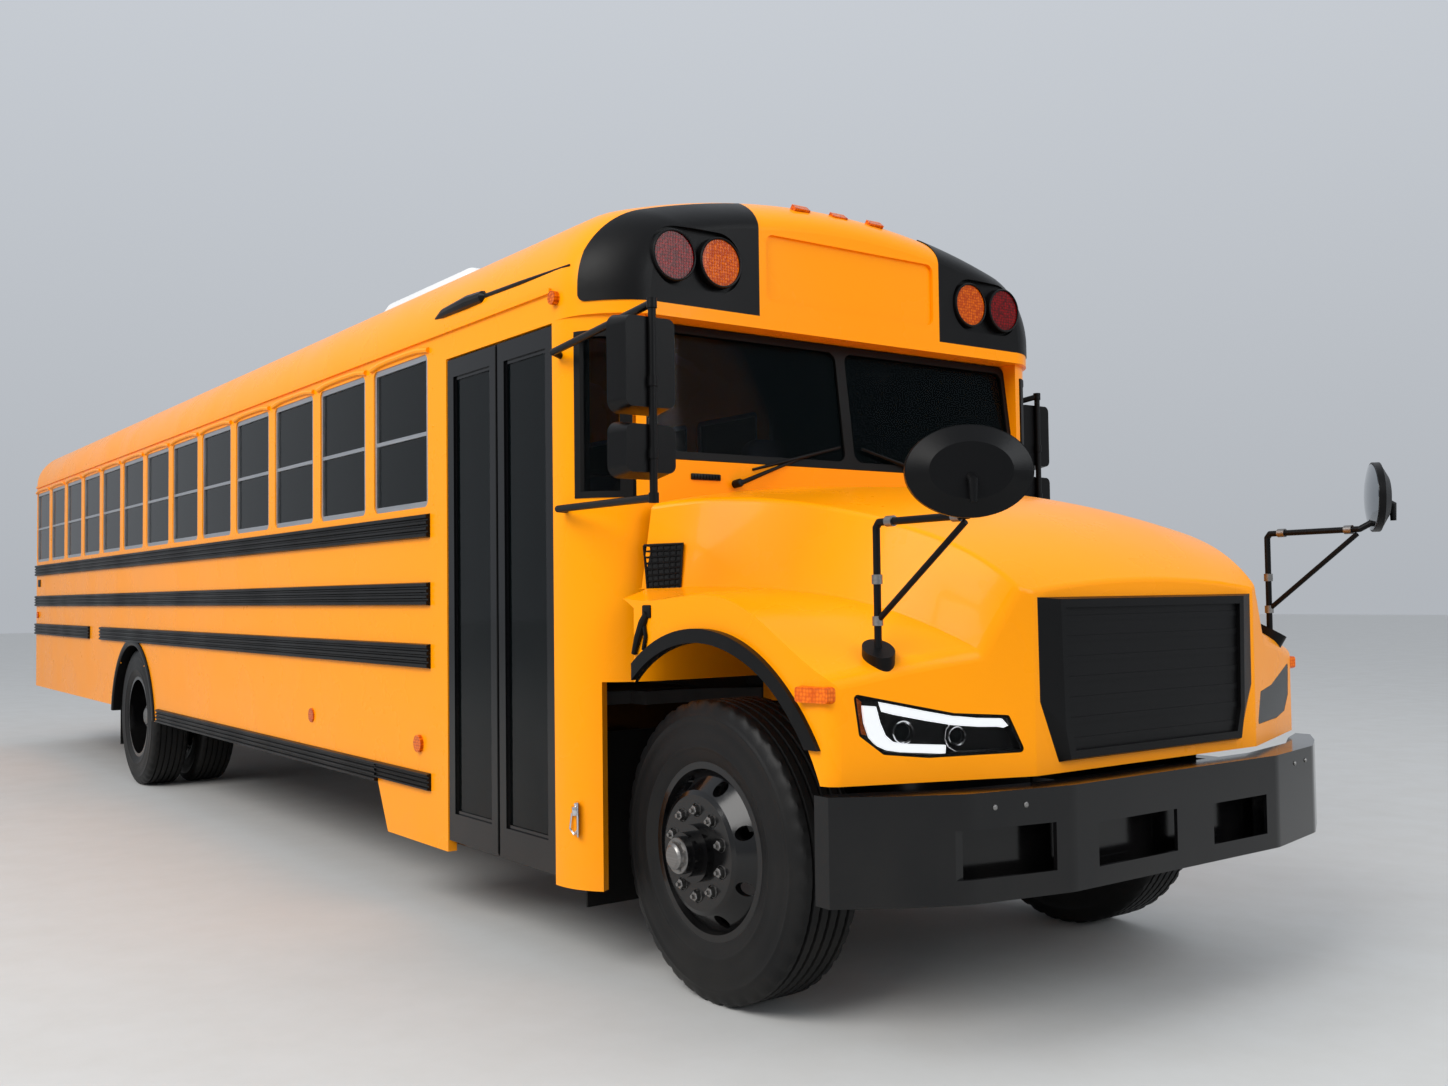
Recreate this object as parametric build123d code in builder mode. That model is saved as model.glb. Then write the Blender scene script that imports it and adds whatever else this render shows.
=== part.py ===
from build123d import *
from math import atan2, cos, pi, sin
import os

# Conventional long-nose school bus, millimetres.
# +X forward, +Y to the driver's left, +Z up; the origin is on the ground under
# the middle of the whole vehicle. The right-hand side carries the entrance door.

os.makedirs("parts", exist_ok=True)

# --- Body envelope -------------------------------------------------------
body_width = 2438
rear_x = -6170          # outer face of the rear wall
front_x = 4580          # outer face of the front wall
wall = 40               # outer panel, frame and inner lining together
skirt_z = 516           # lower edge of the side skirts
rear_skirt_z = 560      # lower edge behind the rear wheels
step_skirt_z = 300      # lower edge round the entrance and the driver's side
eave_z = 2505           # where the side turns into the roof corner
crown_z = 2990
eave_radius = 360
front_corner_radius = 280
rear_corner_radius = 60
cowl_seam_x = 4271      # joint between the long body and its front cowl and cap
cowl_top_z = 2397       # joint between cowl and cap
half_width = body_width / 2
side_rear_x = rear_x + rear_corner_radius

# --- Floor and chassis ---------------------------------------------------
floor_z = 1010          # top of the cabin floor
floor_thickness = 50
bow_height = 70         # floor bows between floor and chassis rails
bow_pitch = 720
rail_depth = 250
rail_flange = 80
rail_web = 8
rail_half_span = 432    # outer face of the rail webs
rail_rear_x = -6120
rail_front_x = 5850
rail_top_z = floor_z - floor_thickness - bow_height
rail_low_z = rail_top_z - rail_depth
spring_y = (356, 428)   # leaf springs sit under the rails

# --- Wheels --------------------------------------------------------------
front_axle_x = 4945
rear_axle_x = -2165
tyre_radius = 508
tyre_width = 275
rim_radius = 286
rim_lip = 14                # height of the rim flange over the bead seat
rim_half = 118
barrel = 10                 # thickness of rim and disc
front_track_half = 898      # tyre centre plane from the middle
rear_outer_half = 1062
dual_spacing = 336
kingpin_half = 830
kingpin_radius = 38
knuckle_gap = 6
spindle_radius = 34
bore_gap = 6                # radial room between spindle and hub bore
steer_sweep = 556           # plan radius kept clear about each kingpin
disc_offset = 160           # mounting face outboard of the tyre centre plane
hand_holes = 8

# --- Side windows --------------------------------------------------------
window_count = 13
window_front_x = 3160
window_pitch = 720
window_width = 615
window_sill_z = 1773
window_head_z = 2448
window_corner = 35
sash_z = 2098
frame_bar = 26
frame_depth = 28
glass_thickness = 6

# --- Entrance door -------------------------------------------------------
door_rear_x = 3350
door_bottom_z = 342
door_top_z = 2393
door_gap = 6
leaf_thickness = 40
leaf_frame = 70

# --- Hood ----------------------------------------------------------------
hood_front_x = 5995     # face behind the grille
hood_bottom_z = 825
hood_skin = 14
nose_wall = 45
hood_gap = 8
grille_front_x = 6021
arch = (5170, 622, 598)     # wheel opening: centre x, centre z, radius
flare_width = 45

# --- Bumpers -------------------------------------------------------------
bumper_top_z = 806
bumper_bottom_z = 498
bumper_plate = 12
bumper_depth = 105
tow_eye_radius = 25
tow_eye_thickness = 25
tow_eye_z = 590


def finish(piece, label):
    """Name one finished piece and write it."""
    piece.part.label = label
    export_step(piece.part, f"parts/{label}.step")


def block(x_range, y_range, z_range, mode=Mode.ADD):
    """Axis-aligned block between the given limits."""
    centre = [(a + b) / 2 for a, b in (x_range, y_range, z_range)]
    size = [b - a for a, b in (x_range, y_range, z_range)]
    with Locations(tuple(centre)):
        Box(*size, mode=mode)


def span(side, low, high):
    """Interval of Y between two distances from the middle, on one side."""
    return tuple(sorted((side * low, side * high)))


def tube(points, radius):
    """Round bar through the points, with a ball at each bend."""
    for start, end in zip(points, points[1:]):
        run = Vector(*end) - Vector(*start)
        add(Solid.make_cylinder(radius, run.length, Plane(origin=start, z_dir=run)))
    for place in points[1:-1]:
        with Locations(place):
            Sphere(radius)


def body_outline(x, half, top, eave, corner, base_z):
    """Closed cross-section: straight walls, two corner arcs and one crown arc."""
    reach = half - corner
    drop = top - eave
    crown = (corner**2 - reach**2 - drop**2) / (2 * (corner - drop))
    centre_z = top - crown
    lean = atan2(reach, eave - centre_z)
    joint = (crown * sin(lean), centre_z + crown * cos(lean))
    middle = pi / 4 - lean / 2
    bend = (reach + corner * cos(middle), eave + corner * sin(middle))
    with BuildSketch(Plane.YZ.offset(x)) as section:
        with BuildLine():
            Polyline((-half, eave), (-half, base_z), (half, base_z), (half, eave))
            ThreePointArc((half, eave), bend, joint)
            ThreePointArc(joint, (0, top), (-joint[0], joint[1]))
            ThreePointArc((-joint[0], joint[1]), (-bend[0], bend[1]), (-half, eave))
        make_face()
    return section.sketch


def envelope(inset, base_z=step_skirt_z):
    """Body volume between the ground-side edge and the roof skin."""
    length = front_x - rear_x - 2 * inset
    outline = body_outline(rear_x + inset, half_width - inset, crown_z - inset, eave_z,
                           eave_radius - inset, base_z)
    with BuildPart() as volume:
        extrude(outline, amount=length)
        with BuildSketch(Plane.XY.offset(base_z)) as plan:
            with Locations(((rear_x + front_x) / 2, 0)):
                Rectangle(length, body_width - 2 * inset)
            fillet(plan.vertices().group_by(Axis.X)[-1], front_corner_radius - inset)
            fillet(plan.vertices().group_by(Axis.X)[0], rear_corner_radius - inset)
        extrude(amount=crown_z - base_z + 10, mode=Mode.INTERSECT)
    return volume.part


outer_body = envelope(0)
inner_body = envelope(wall)
window_fronts = [window_front_x - window_pitch * i for i in range(window_count)]
window_middle_z = (window_head_z + window_sill_z) / 2
window_height = window_head_z - window_sill_z


def window_row(y_centre):
    """Sketch of one row of side window openings."""
    with BuildSketch(Plane.XZ.offset(-y_centre)) as row:
        for front in window_fronts:
            with Locations((front - window_width / 2, window_middle_z)):
                RectangleRounded(window_width, window_height, window_corner)
    return row.sketch


def steering_clearance():
    """Upright cylinders swept by the steered front wheels."""
    for side in (-1, 1):
        with Locations((front_axle_x, side * kingpin_half, 531)):
            Cylinder(steer_sweep, 1062, mode=Mode.SUBTRACT)


# --- Side walls ----------------------------------------------------------
body_arch = (rear_axle_x, 425, 640)         # centre x, centre z, radius
driver_window = ((3380, 4200), (1728, 2393))
slope_x = (2587, 2704)                      # where the skirt steps down

for name, side in (("right_side", -1), ("left_side", 1)):
    with BuildPart() as side_wall:
        add(outer_body)
        add(inner_body, mode=Mode.SUBTRACT)
        reach_y = span(side, half_width - wall, half_width + 1)
        block((side_rear_x, cowl_seam_x), reach_y, (step_skirt_z, eave_z), Mode.INTERSECT)
        with BuildSketch(Plane.XZ) as underside:
            with BuildLine():
                Polyline(
                    (rear_x - 1, step_skirt_z - 1),
                    (slope_x[1], step_skirt_z - 1),
                    (slope_x[0], skirt_z),
                    (rear_axle_x, skirt_z),
                    (rear_axle_x, rear_skirt_z),
                    (rear_x - 1, rear_skirt_z),
                    close=True,
                )
            make_face()
        extrude(underside.sketch, amount=half_width + 1, both=True, mode=Mode.SUBTRACT)
        with Locations(Location((body_arch[0], 0, body_arch[1]), (90, 0, 0))):
            Cylinder(body_arch[2], body_width + 10, mode=Mode.SUBTRACT)
        for pocket in window_row(reach_y[1] + 5).faces():
            add(extrude(pocket, amount=wall + 10, mode=Mode.PRIVATE), mode=Mode.SUBTRACT)
        if side > 0:
            block(driver_window[0], reach_y, driver_window[1], Mode.SUBTRACT)
        else:
            block((door_rear_x, cowl_seam_x), reach_y, (0, door_top_z), Mode.SUBTRACT)
    finish(side_wall, name)

# --- Rear wall with its emergency door opening ----------------------------
rear_door_half = 380
rear_door_top_z = 2380
rear_window_y = (470, 1010)
window_z = (window_sill_z, window_head_z)

with BuildPart() as rear_wall:
    add(outer_body)
    add(inner_body, mode=Mode.SUBTRACT)
    wall_x = (rear_x - 1, side_rear_x)
    block(wall_x, (-1300, 1300), (rear_skirt_z, eave_z), Mode.INTERSECT)
    block(wall_x, (-rear_door_half, rear_door_half), (floor_z, rear_door_top_z), Mode.SUBTRACT)
    for side in (-1, 1):
        block(wall_x, span(side, *rear_window_y), window_z, Mode.SUBTRACT)
finish(rear_wall, "rear_wall")

# --- Roof and its two white air-conditioning units -------------------------
drip_rail = (12, 18)        # how far it stands out, height
with BuildPart() as roof:
    add(outer_body)
    add(inner_body, mode=Mode.SUBTRACT)
    block((rear_x - 1, cowl_seam_x), (-1300, 1300), (eave_z, crown_z + 5), Mode.INTERSECT)
    for side in (-1, 1):
        rail_y = span(side, half_width - 3, half_width + drip_rail[0])
        block((side_rear_x, cowl_seam_x), rail_y, (eave_z, eave_z + drip_rail[1]))
finish(roof, "roof")

unit_base_z = 2860
# columns: name, middle x, length, width, top z
roof_units = (
    ("front_roof_unit", 1500, 1520, 1360, 3165),
    ("rear_roof_unit", -3960, 1160, 1300, 3130),
)
for name, unit_x, length, width, top_z in roof_units:
    with BuildPart() as roof_unit:
        with BuildSketch(Plane.XY.offset(unit_base_z)):
            with Locations((unit_x, 0)):
                RectangleRounded(length, width, 240)
        extrude(amount=top_z - unit_base_z, taper=34)
        fillet(roof_unit.faces().sort_by(Axis.Z)[-1].edges(), 60)
        add(outer_body, mode=Mode.SUBTRACT)
    finish(roof_unit, name)

# --- Front cap: the rounded brow that carries the warning lamps ----------
# columns: x, half width, crown z, corner arc centre z, corner radius
cap_sections = (
    (cowl_seam_x, half_width, crown_z, eave_z, eave_radius),
    (4380, 1213, 2976, 2500, 350),
    (4470, 1176, 2948, 2498, 328),
    (4545, 1108, 2907, 2496, 296),
    (4588, 1042, 2860, 2495, 262),
    (4602, 986, 2815, 2495, 232),
)
cap_front_x = cap_sections[-1][0]
panel_half = 490
housing_proud = 6
cavity_front_x = 4485


def cap_loft(inset, base_z=cowl_top_z):
    """Brow lofted through its sections, drawn in by the inset."""
    with BuildPart() as brow:
        for x, half, top, eave, corner in cap_sections:
            add(body_outline(x, half - inset, top - inset, eave, corner - inset, base_z))
        loft()
    return brow.part


def housing_zone():
    """Both zones of the brow, seen from the side, that the lamp housings fill."""
    with BuildPart() as zone:
        with BuildSketch(Plane.XZ) as shape:
            with BuildLine():
                FilletPolyline(
                    (4432, 2445), (4432, 2640), (4495, 3030), (4700, 3030), (4700, 2445),
                    radius=30, close=True,
                )
            make_face()
        extrude(shape.sketch, amount=1300, both=True)
        block((4200, 4800), (-panel_half, panel_half), (2300, 3100), Mode.SUBTRACT)
    return zone.part


lamp_zone = housing_zone()
with BuildPart() as cavity:
    add(cap_loft(wall))
    block((4200, cavity_front_x), (-1300, 1300), (2300, 3100), Mode.INTERSECT)

with BuildPart() as front_cap:
    add(cap_loft(0))
    add(cavity.part, mode=Mode.SUBTRACT)
    add(lamp_zone, mode=Mode.SUBTRACT)
    with BuildSketch(Plane.YZ.offset(cap_front_x - 14)) as sign_recess:
        with Locations((0, 2640)):
            RectangleRounded(2 * panel_half - 70, 262, 36)
    extrude(sign_recess.sketch, amount=40, mode=Mode.SUBTRACT)
finish(front_cap, "front_cap")

# --- Lamp housings and every lamp fixed to the body -------------------------
warning_lamp_z = 2625
warning_lamp_y = (679, 892)
dish_depth = 24
with BuildPart() as lamp_housings:
    add(cap_loft(-housing_proud, cowl_top_z - 20))
    add(lamp_zone, mode=Mode.INTERSECT)
    add(cavity.part, mode=Mode.SUBTRACT)
    for side in (-1, 1):
        with BuildSketch(Plane.YZ.offset(cap_front_x - dish_depth)) as dish:
            with Locations((side * 781, warning_lamp_z)):
                RectangleRounded(408, 230, 108)
        extrude(dish.sketch, amount=60, mode=Mode.SUBTRACT)
finish(lamp_housings, "lamp_housings")

# columns: x, |y|, z, radius, thickness, axis (0 forward, 1 sideways)
body_lamp_table = (
    (cap_front_x - dish_depth, warning_lamp_y[0], warning_lamp_z, 88, 30, 0),
    (cap_front_x - dish_depth, warning_lamp_y[1], warning_lamp_z, 88, 30, 0),
    (4305, half_width + 0.6, 2480, 26, 22, 1),
    (3066, half_width, 733, 38, 16, 1),
    (1701, half_width, 770, 36, 8, 1),
    (-6000, half_width, 1255, 30, 16, 1),
)
rear_lamp_radius = 84
with BuildPart() as crown_markers:
    for y in (-203, 0, 203):
        with Locations(Location((4505, y, 2918), (0, 40, 0))):
            Box(34, 76, 44)
    add(cap_loft(0), mode=Mode.SUBTRACT)
with BuildPart() as body_lamps:
    for side in (-1, 1):
        for x, y, z, radius, depth, sideways in body_lamp_table:
            normal = (0, side, 0) if sideways else (1, 0, 0)
            with BuildSketch(Plane(origin=(x, side * y, z), z_dir=normal)) as disc:
                Circle(radius)
            extrude(disc.sketch, amount=depth)
        for y, z in ((1100, 1560), (1100, 1340), (690, 2600), (890, 2585)):
            with BuildSketch(Plane(origin=(rear_x, side * y, z), z_dir=(-1, 0, 0))) as disc:
                Circle(rear_lamp_radius)
            extrude(disc.sketch, amount=28)
    add(crown_markers.part)
finish(body_lamps, "body_lamps")

# --- Front cowl: corner panels, door pillars, windscreen and quarter openings
cowl_bottom_z = 314
screen_half = 1000
screen_sill_z = 1872
quarter_x = (4402, 4562)
quarter_z = (1728, 2340)
# columns: x, crown z, shoulder y and z, valley y and z, fender y and z
hood_sections = (
    (4576, 1800, 1062, 1690, 1100, 1400, 1195, 1350),
    (4740, 1787, 930, 1712, 985, 1400, 1195, 1360),
    (4980, 1772, 820, 1705, 925, 1398, 1195, 1360),
    (5400, 1712, 750, 1636, 850, 1365, 1190, 1325),
    (5760, 1588, 690, 1530, 790, 1280, 1182, 1130),
    (5920, 1480, 635, 1435, 735, 1205, 1150, 1060),
    (6020, 1375, 600, 1335, 700, 1140, 1130, 990),
)
shoulder_radius = 150
valley_radius = 110
fender_radius = 130


def hood_loft(inset, base_z):
    """Hood and fenders in one loft through the section table."""
    with BuildPart() as body:
        for x, crown, sy, sz, vy, vz, fy, fz in hood_sections:
            with BuildSketch(Plane.YZ.offset(x)) as section:
                with BuildLine():
                    right = [(y - inset, z - inset) for y, z in ((sy, sz), (vy, vz), (fy, fz))]
                    left = [(-y, z) for y, z in right[::-1]]
                    Polyline(*right, (right[-1][0], base_z), (left[0][0], base_z), *left)
                    ThreePointArc(left[-1], (0, crown - inset), right[0])
                make_face()
                upper = section.vertices().filter_by_position(Axis.Y, base_z + 1, 5000)
                for reach, radius in ((sy, shoulder_radius), (vy, valley_radius), (fy, fender_radius)):
                    fillet([v for v in upper if abs(abs(v.Y) - reach + inset) < 1], radius)
        loft()
    return body.part


def rear_split(middle_x):
    """Zone behind the bowed joint between cowl and hood."""
    with BuildPart() as zone:
        with BuildSketch(Plane.XY.offset(700)) as plan:
            with BuildLine():
                ends = (middle_x - 122, 1100)
                Polyline(
                    (ends[0], -ends[1]), (ends[0], -1320), (4300, -1320),
                    (4300, 1320), (ends[0], 1320), ends,
                )
                ThreePointArc(ends, (middle_x, 0), (ends[0], -ends[1]))
            make_face()
        extrude(plan.sketch, amount=1300)
    return zone.part


cowl_edge_x = 4722
with BuildPart() as cowl_top:
    add(hood_loft(1, hood_bottom_z))
    add(rear_split(cowl_edge_x), mode=Mode.INTERSECT)
    add(hood_loft(1 + hood_skin, hood_bottom_z - 10), mode=Mode.SUBTRACT)
    block((4500, 4800), (-960, 960), (1600, 2000), Mode.INTERSECT)

with BuildPart() as front_cowl:
    add(outer_body)
    add(inner_body, mode=Mode.SUBTRACT)
    block((cowl_seam_x, front_x + 1), (-1300, 1300), (cowl_bottom_z, cowl_top_z), Mode.INTERSECT)
    block((4400, 4700), (-850, 850), (0, floor_z - floor_thickness), Mode.SUBTRACT)
    block((4340, 4700), (-screen_half, screen_half), (screen_sill_z, 2500), Mode.SUBTRACT)
    for side in (-1, 1):
        block(quarter_x, span(side, 1001, 1300), quarter_z, Mode.SUBTRACT)
        block((4466, 4546), span(side, screen_half, 1050), (screen_sill_z, cowl_top_z))
    steering_clearance()
    add(cowl_top.part)
finish(front_cowl, "front_cowl")

# --- Fixed glass and its frames --------------------------------------------
screen_plane = Plane(origin=(front_x - 22, 0, screen_sill_z), x_dir=(0, 1, 0), z_dir=(0.991, 0, 0.133))
screen_height = 525
quarter_bar = 24
pane_x = (quarter_x[0] + quarter_bar, quarter_x[1] - quarter_bar)
pane_z = (quarter_z[0] + quarter_bar, quarter_z[1] - quarter_bar)
with BuildPart() as quarter_ring:
    for side in (-1, 1):
        block(quarter_x, span(side, 1051, 1300), quarter_z)
        block(pane_x, span(side, 1040, 1300), pane_z, Mode.SUBTRACT)
    add(envelope(-3), mode=Mode.INTERSECT)
    add(envelope(wall - 6), mode=Mode.SUBTRACT)
with BuildPart() as quarter_panes:
    for side in (-1, 1):
        block(pane_x, span(side, 1051, 1300), pane_z)
    add(envelope(12), mode=Mode.INTERSECT)
    add(envelope(12 + glass_thickness), mode=Mode.SUBTRACT)

with BuildPart() as screen_gasket:
    with BuildSketch(screen_plane) as ring:
        with Locations((0, screen_height / 2)):
            RectangleRounded(2 * screen_half - 2, screen_height - 4, 30)
        for side in (-1, 1):
            with Locations((side * (screen_half + 2) / 2, screen_height / 2)):
                RectangleRounded(screen_half - 48, screen_height - 64, 40, mode=Mode.SUBTRACT)
    extrude(ring.sketch, amount=12, both=True)
    add(quarter_ring.part)
finish(screen_gasket, "screen_gasket")

with BuildPart() as body_glass:
    for side in (-1, 1):
        with BuildSketch(screen_plane) as pane:
            with Locations((side * (screen_half + 2) / 2, screen_height / 2)):
                RectangleRounded(screen_half - 48, screen_height - 64, 40)
        extrude(pane.sketch, amount=glass_thickness / 2, both=True)
        for front in window_fronts:
            block((front - window_width + frame_bar, front - frame_bar),
                  span(side, half_width - 23, half_width - 17),
                  (window_sill_z + frame_bar, window_head_z - frame_bar))
        block((rear_x + 16, rear_x + 22), span(side, rear_window_y[0] + frame_bar, rear_window_y[1] - frame_bar),
              (window_sill_z + frame_bar, window_head_z - frame_bar))
    block((driver_window[0][0] + frame_bar, driver_window[0][1] - frame_bar),
          (half_width - 23, half_width - 17),
          (driver_window[1][0] + frame_bar, driver_window[1][1] - frame_bar))
    add(quarter_panes.part)
finish(body_glass, "body_glass")

with BuildPart() as window_frames:
    for side in (-1, 1):
        with BuildSketch(Plane.XZ.offset(-side * (half_width - 20))) as frames:
            for front in window_fronts:
                with Locations((front - window_width / 2, window_middle_z)):
                    RectangleRounded(window_width, window_height, window_corner)
                    Rectangle(window_width - 2 * frame_bar, window_height - 2 * frame_bar, mode=Mode.SUBTRACT)
            if side > 0:
                with Locations((sum(driver_window[0]) / 2, sum(driver_window[1]) / 2)):
                    tall, wide = (b - a for a, b in driver_window[::-1])
                    Rectangle(wide, tall)
                    Rectangle(wide - 2 * frame_bar, tall - 2 * frame_bar, mode=Mode.SUBTRACT)
        extrude(frames.sketch, amount=frame_depth / 2, both=True)
        for front in window_fronts:
            block((front - window_width + frame_bar, front - frame_bar),
                  span(side, half_width - 17, half_width - 7), (sash_z - 9, sash_z + 9))
        with BuildSketch(Plane.YZ.offset(rear_x + 20)) as rear_frames:
            with Locations((side * sum(rear_window_y) / 2, window_middle_z)):
                width = rear_window_y[1] - rear_window_y[0]
                Rectangle(width, window_height)
                Rectangle(width - 2 * frame_bar, window_height - 2 * frame_bar, mode=Mode.SUBTRACT)
        extrude(rear_frames.sketch, amount=frame_depth / 2, both=True)
finish(window_frames, "window_frames")

# --- Rub rails -------------------------------------------------------------
rail_stand = 20
rail_groove = 9
rail_front_end = 3181
ridge_count = 4
# columns: low z, high z, rear x, front x
rub_rails_table = (
    (1637, 1742, side_rear_x, rail_front_end),
    (1340, 1442, side_rear_x, rail_front_end),
    (1065, 1172, -3240, rail_front_end),
    (1065, 1172, side_rear_x, -3660),
    (skirt_z, 612, -1426, slope_x[0]),
    (skirt_z + 20, 612, slope_x[0], rail_front_end),
)
with BuildPart() as rub_rails:
    for side in (-1, 1):
        for low, high, x0, x1 in rub_rails_table:
            pitch = (high - low) / ridge_count
            with BuildSketch(Plane.YZ.offset(x0)) as rail:
                with BuildLine():
                    crest = half_width + rail_stand
                    trough = crest - rail_groove
                    edge = [(half_width, low), (crest, low + 4)]
                    for i in range(1, ridge_count):
                        z = low + pitch * i
                        edge += [(crest, z - 8), (trough, z - 3), (trough, z + 3), (crest, z + 8)]
                    edge += [(crest, high - 4), (half_width, high)]
                    Polyline(*[(side * y, z) for y, z in edge], close=True)
                make_face()
            extrude(rail.sketch, amount=x1 - x0)
finish(rub_rails, "rub_rails")

# --- Floor, entrance steps and rear wheelhouses ----------------------------
step_well = (door_rear_x, cowl_seam_x, -half_width + wall, -560)
house_half = 620
house_inner_y = 560
house_top_z = 1190
with BuildPart() as floor:
    under_z = floor_z - floor_thickness
    block((rear_x + wall, front_x - wall - 5), (-half_width + wall, half_width - wall), (under_z, floor_z))
    for i in range(15):
        x = rear_x + 300 + bow_pitch * i
        block((x - 25, x + 25), (-1100, 1100), (rail_top_z, under_z))
    x0, x1, y0, y1 = step_well
    block((x0, x1), (y0 - 50, y1), (0, 1100), Mode.SUBTRACT)
    for side in (-1, 1):
        house_x = (rear_axle_x - house_half, rear_axle_x + house_half)
        block(house_x, span(side, house_inner_y, 1300), (0, 1100), Mode.SUBTRACT)
        block((rear_x, rear_x + 62), span(side, 1150, 1300), (0, 1100), Mode.SUBTRACT)
        block((front_x - 285, front_x + 10), span(side, 900, 1300), (0, 1100), Mode.SUBTRACT)
    steering_clearance()
finish(floor, "floor")

tread_z = (330, 547, 764)
riser_y = (1178, 960, 760, 562)
step_plate = 12
with BuildPart() as entry_steps:
    for i, z in enumerate(tread_z):
        top = (tread_z + (floor_z - 14,))[i + 1]
        block((door_rear_x + 2, cowl_seam_x - 2), (-riser_y[i], -riser_y[i + 1]), (z, z + step_plate))
        block((door_rear_x + 2, cowl_seam_x - 2), (-riser_y[i + 1] - step_plate, -riser_y[i + 1]),
              (z, top + step_plate))
finish(entry_steps, "entry_steps")

with BuildPart() as rear_wheelhouses:
    sheet = 12
    for side in (-1, 1):
        house_x = (rear_axle_x - house_half, rear_axle_x + house_half)
        block(house_x, span(side, house_inner_y, half_width - wall - 1), (900, house_top_z))
        hollow_x = (house_x[0] + sheet, house_x[1] - sheet)
        block(hollow_x, span(side, house_inner_y + sheet, half_width), (890, house_top_z - sheet), Mode.SUBTRACT)
finish(rear_wheelhouses, "rear_wheelhouses")

# --- Chassis ----------------------------------------------------------------
cross_members = (-5900, -4600, -3200, -1100, 200, 1500, 2800, 3700, 5780)
with BuildPart() as chassis_frame:
    with BuildSketch(Plane.YZ.offset(rail_rear_x)) as rails:
        for side in (-1, 1):
            with Locations((side * (rail_half_span - rail_flange / 2), rail_top_z - rail_depth / 2)):
                Rectangle(rail_flange, rail_depth)
            with Locations((side * (rail_half_span - rail_web - rail_flange / 2), rail_top_z - rail_depth / 2)):
                Rectangle(rail_flange, rail_depth - 2 * rail_web, mode=Mode.SUBTRACT)
    extrude(rails.sketch, amount=rail_front_x - rail_rear_x)
    inner_y = rail_half_span - rail_web
    for x in cross_members:
        block((x - 30, x + 30), (-inner_y, inner_y), (rail_low_z + 60, rail_low_z + 160))
    for eye_x in (rail_rear_x + 70, rail_front_x - 60):
        for side in (-1, 1):
            eye_y = span(side, rail_half_span - tow_eye_thickness, rail_half_span)
            block((eye_x - 60, eye_x + 60), eye_y, (tow_eye_z - 45, rail_low_z + 5))
            with Locations(Location((eye_x, sum(eye_y) / 2, tow_eye_z), (90, 0, 0))):
                Cylinder(tow_eye_radius, tow_eye_thickness + 10, mode=Mode.SUBTRACT)
    for x in (front_axle_x, rear_axle_x):
        for end in (-750, 750):
            for side in (-1, 1):
                block((x + end - 30, x + end + 30), span(side, *spring_y), (rail_low_z - 40, rail_low_z + 5))
finish(chassis_frame, "chassis_frame")

# columns: axle x, height of the spring seat, thickness at the seat
spring_table = ((front_axle_x, tyre_radius - 30, 58), (rear_axle_x, tyre_radius + 82, 44))
with BuildPart() as leaf_springs:
    for x, seat_z, thickness in spring_table:
        end_z = rail_low_z - 47
        with BuildSketch(Plane.XZ) as arc_band:
            with BuildLine():
                low = ThreePointArc((x - 770, end_z - 46), (x, seat_z), (x + 770, end_z - 46))
                Line(low @ 1, (x + 770, end_z))
                high = ThreePointArc((x + 770, end_z), (x, seat_z + thickness), (x - 770, end_z))
                Line(high @ 1, low @ 0)
            make_face()
        for side in (-1, 1):
            band = extrude(arc_band.sketch, amount=-(spring_y[1] - spring_y[0]), mode=Mode.PRIVATE)
            add(band.moved(Location((0, span(side, *spring_y)[0], 0))))
finish(leaf_springs, "leaf_springs")

with BuildPart() as engine_block:
    block((4650, 5600), (-330, 330), (700, 1180))
    block((4700, 5500), (-240, 240), (1180, 1480))
    block((4700, 4800), (-inner_y, inner_y), (rail_low_z + 60, rail_low_z + 140))
    block((5640, 5700), (-345, 345), (700, 1320))
    block((5640, 5700), (-420, 420), (895, 1320))
    block((5600, 5640), (-200, 200), (900, 1100))
    with BuildSketch(Plane.YZ.offset(3950)) as gearbox:
        with Locations((0, 735)):
            RectangleRounded(300, 290, 60)
    extrude(gearbox.sketch, amount=700)
finish(engine_block, "engine_block")

joint_x = cross_members[5]
with BuildPart() as drive_shaft:
    tube(((3948, 0, 640), (joint_x, 0, 600), (rear_axle_x + 275, 0, tyre_radius + 10)), 45)
    with Locations((joint_x, 0, 600)):
        Sphere(75)
    block((joint_x - 30, joint_x + 30), (-120, 120), (600, rail_low_z + 60))
finish(drive_shaft, "drive_shaft")

pipe_y = 235
pipe_z = 570
with BuildPart() as exhaust:
    tube(((4634, pipe_y, 740), (3900, pipe_y, pipe_z), (1250, pipe_y, pipe_z)), 48)
    with Locations(Location((2600, pipe_y, pipe_z), (0, 90, 0))):
        Cylinder(105, 1100)
    hanger_x = cross_members[6]
    block((hanger_x - 20, hanger_x + 20), (pipe_y - 20, pipe_y + 20), (pipe_z + 90, rail_low_z + 60))
    tube(((1250, pipe_y, pipe_z), (1000, 700, pipe_z - 20), (1000, 1150, pipe_z - 20)), 48)
finish(exhaust, "exhaust")

with BuildPart() as fuel_tank:
    with BuildSketch(Plane.YZ.offset(900)) as tank:
        with Locations((-770, 740)):
            RectangleRounded(560, 280, 70)
    extrude(tank.sketch, amount=1300)
    for x in (1100, 1900):
        block((x - 30, x + 30), (-800, -rail_half_span), (875, 888))
finish(fuel_tank, "fuel_tank")

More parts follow.
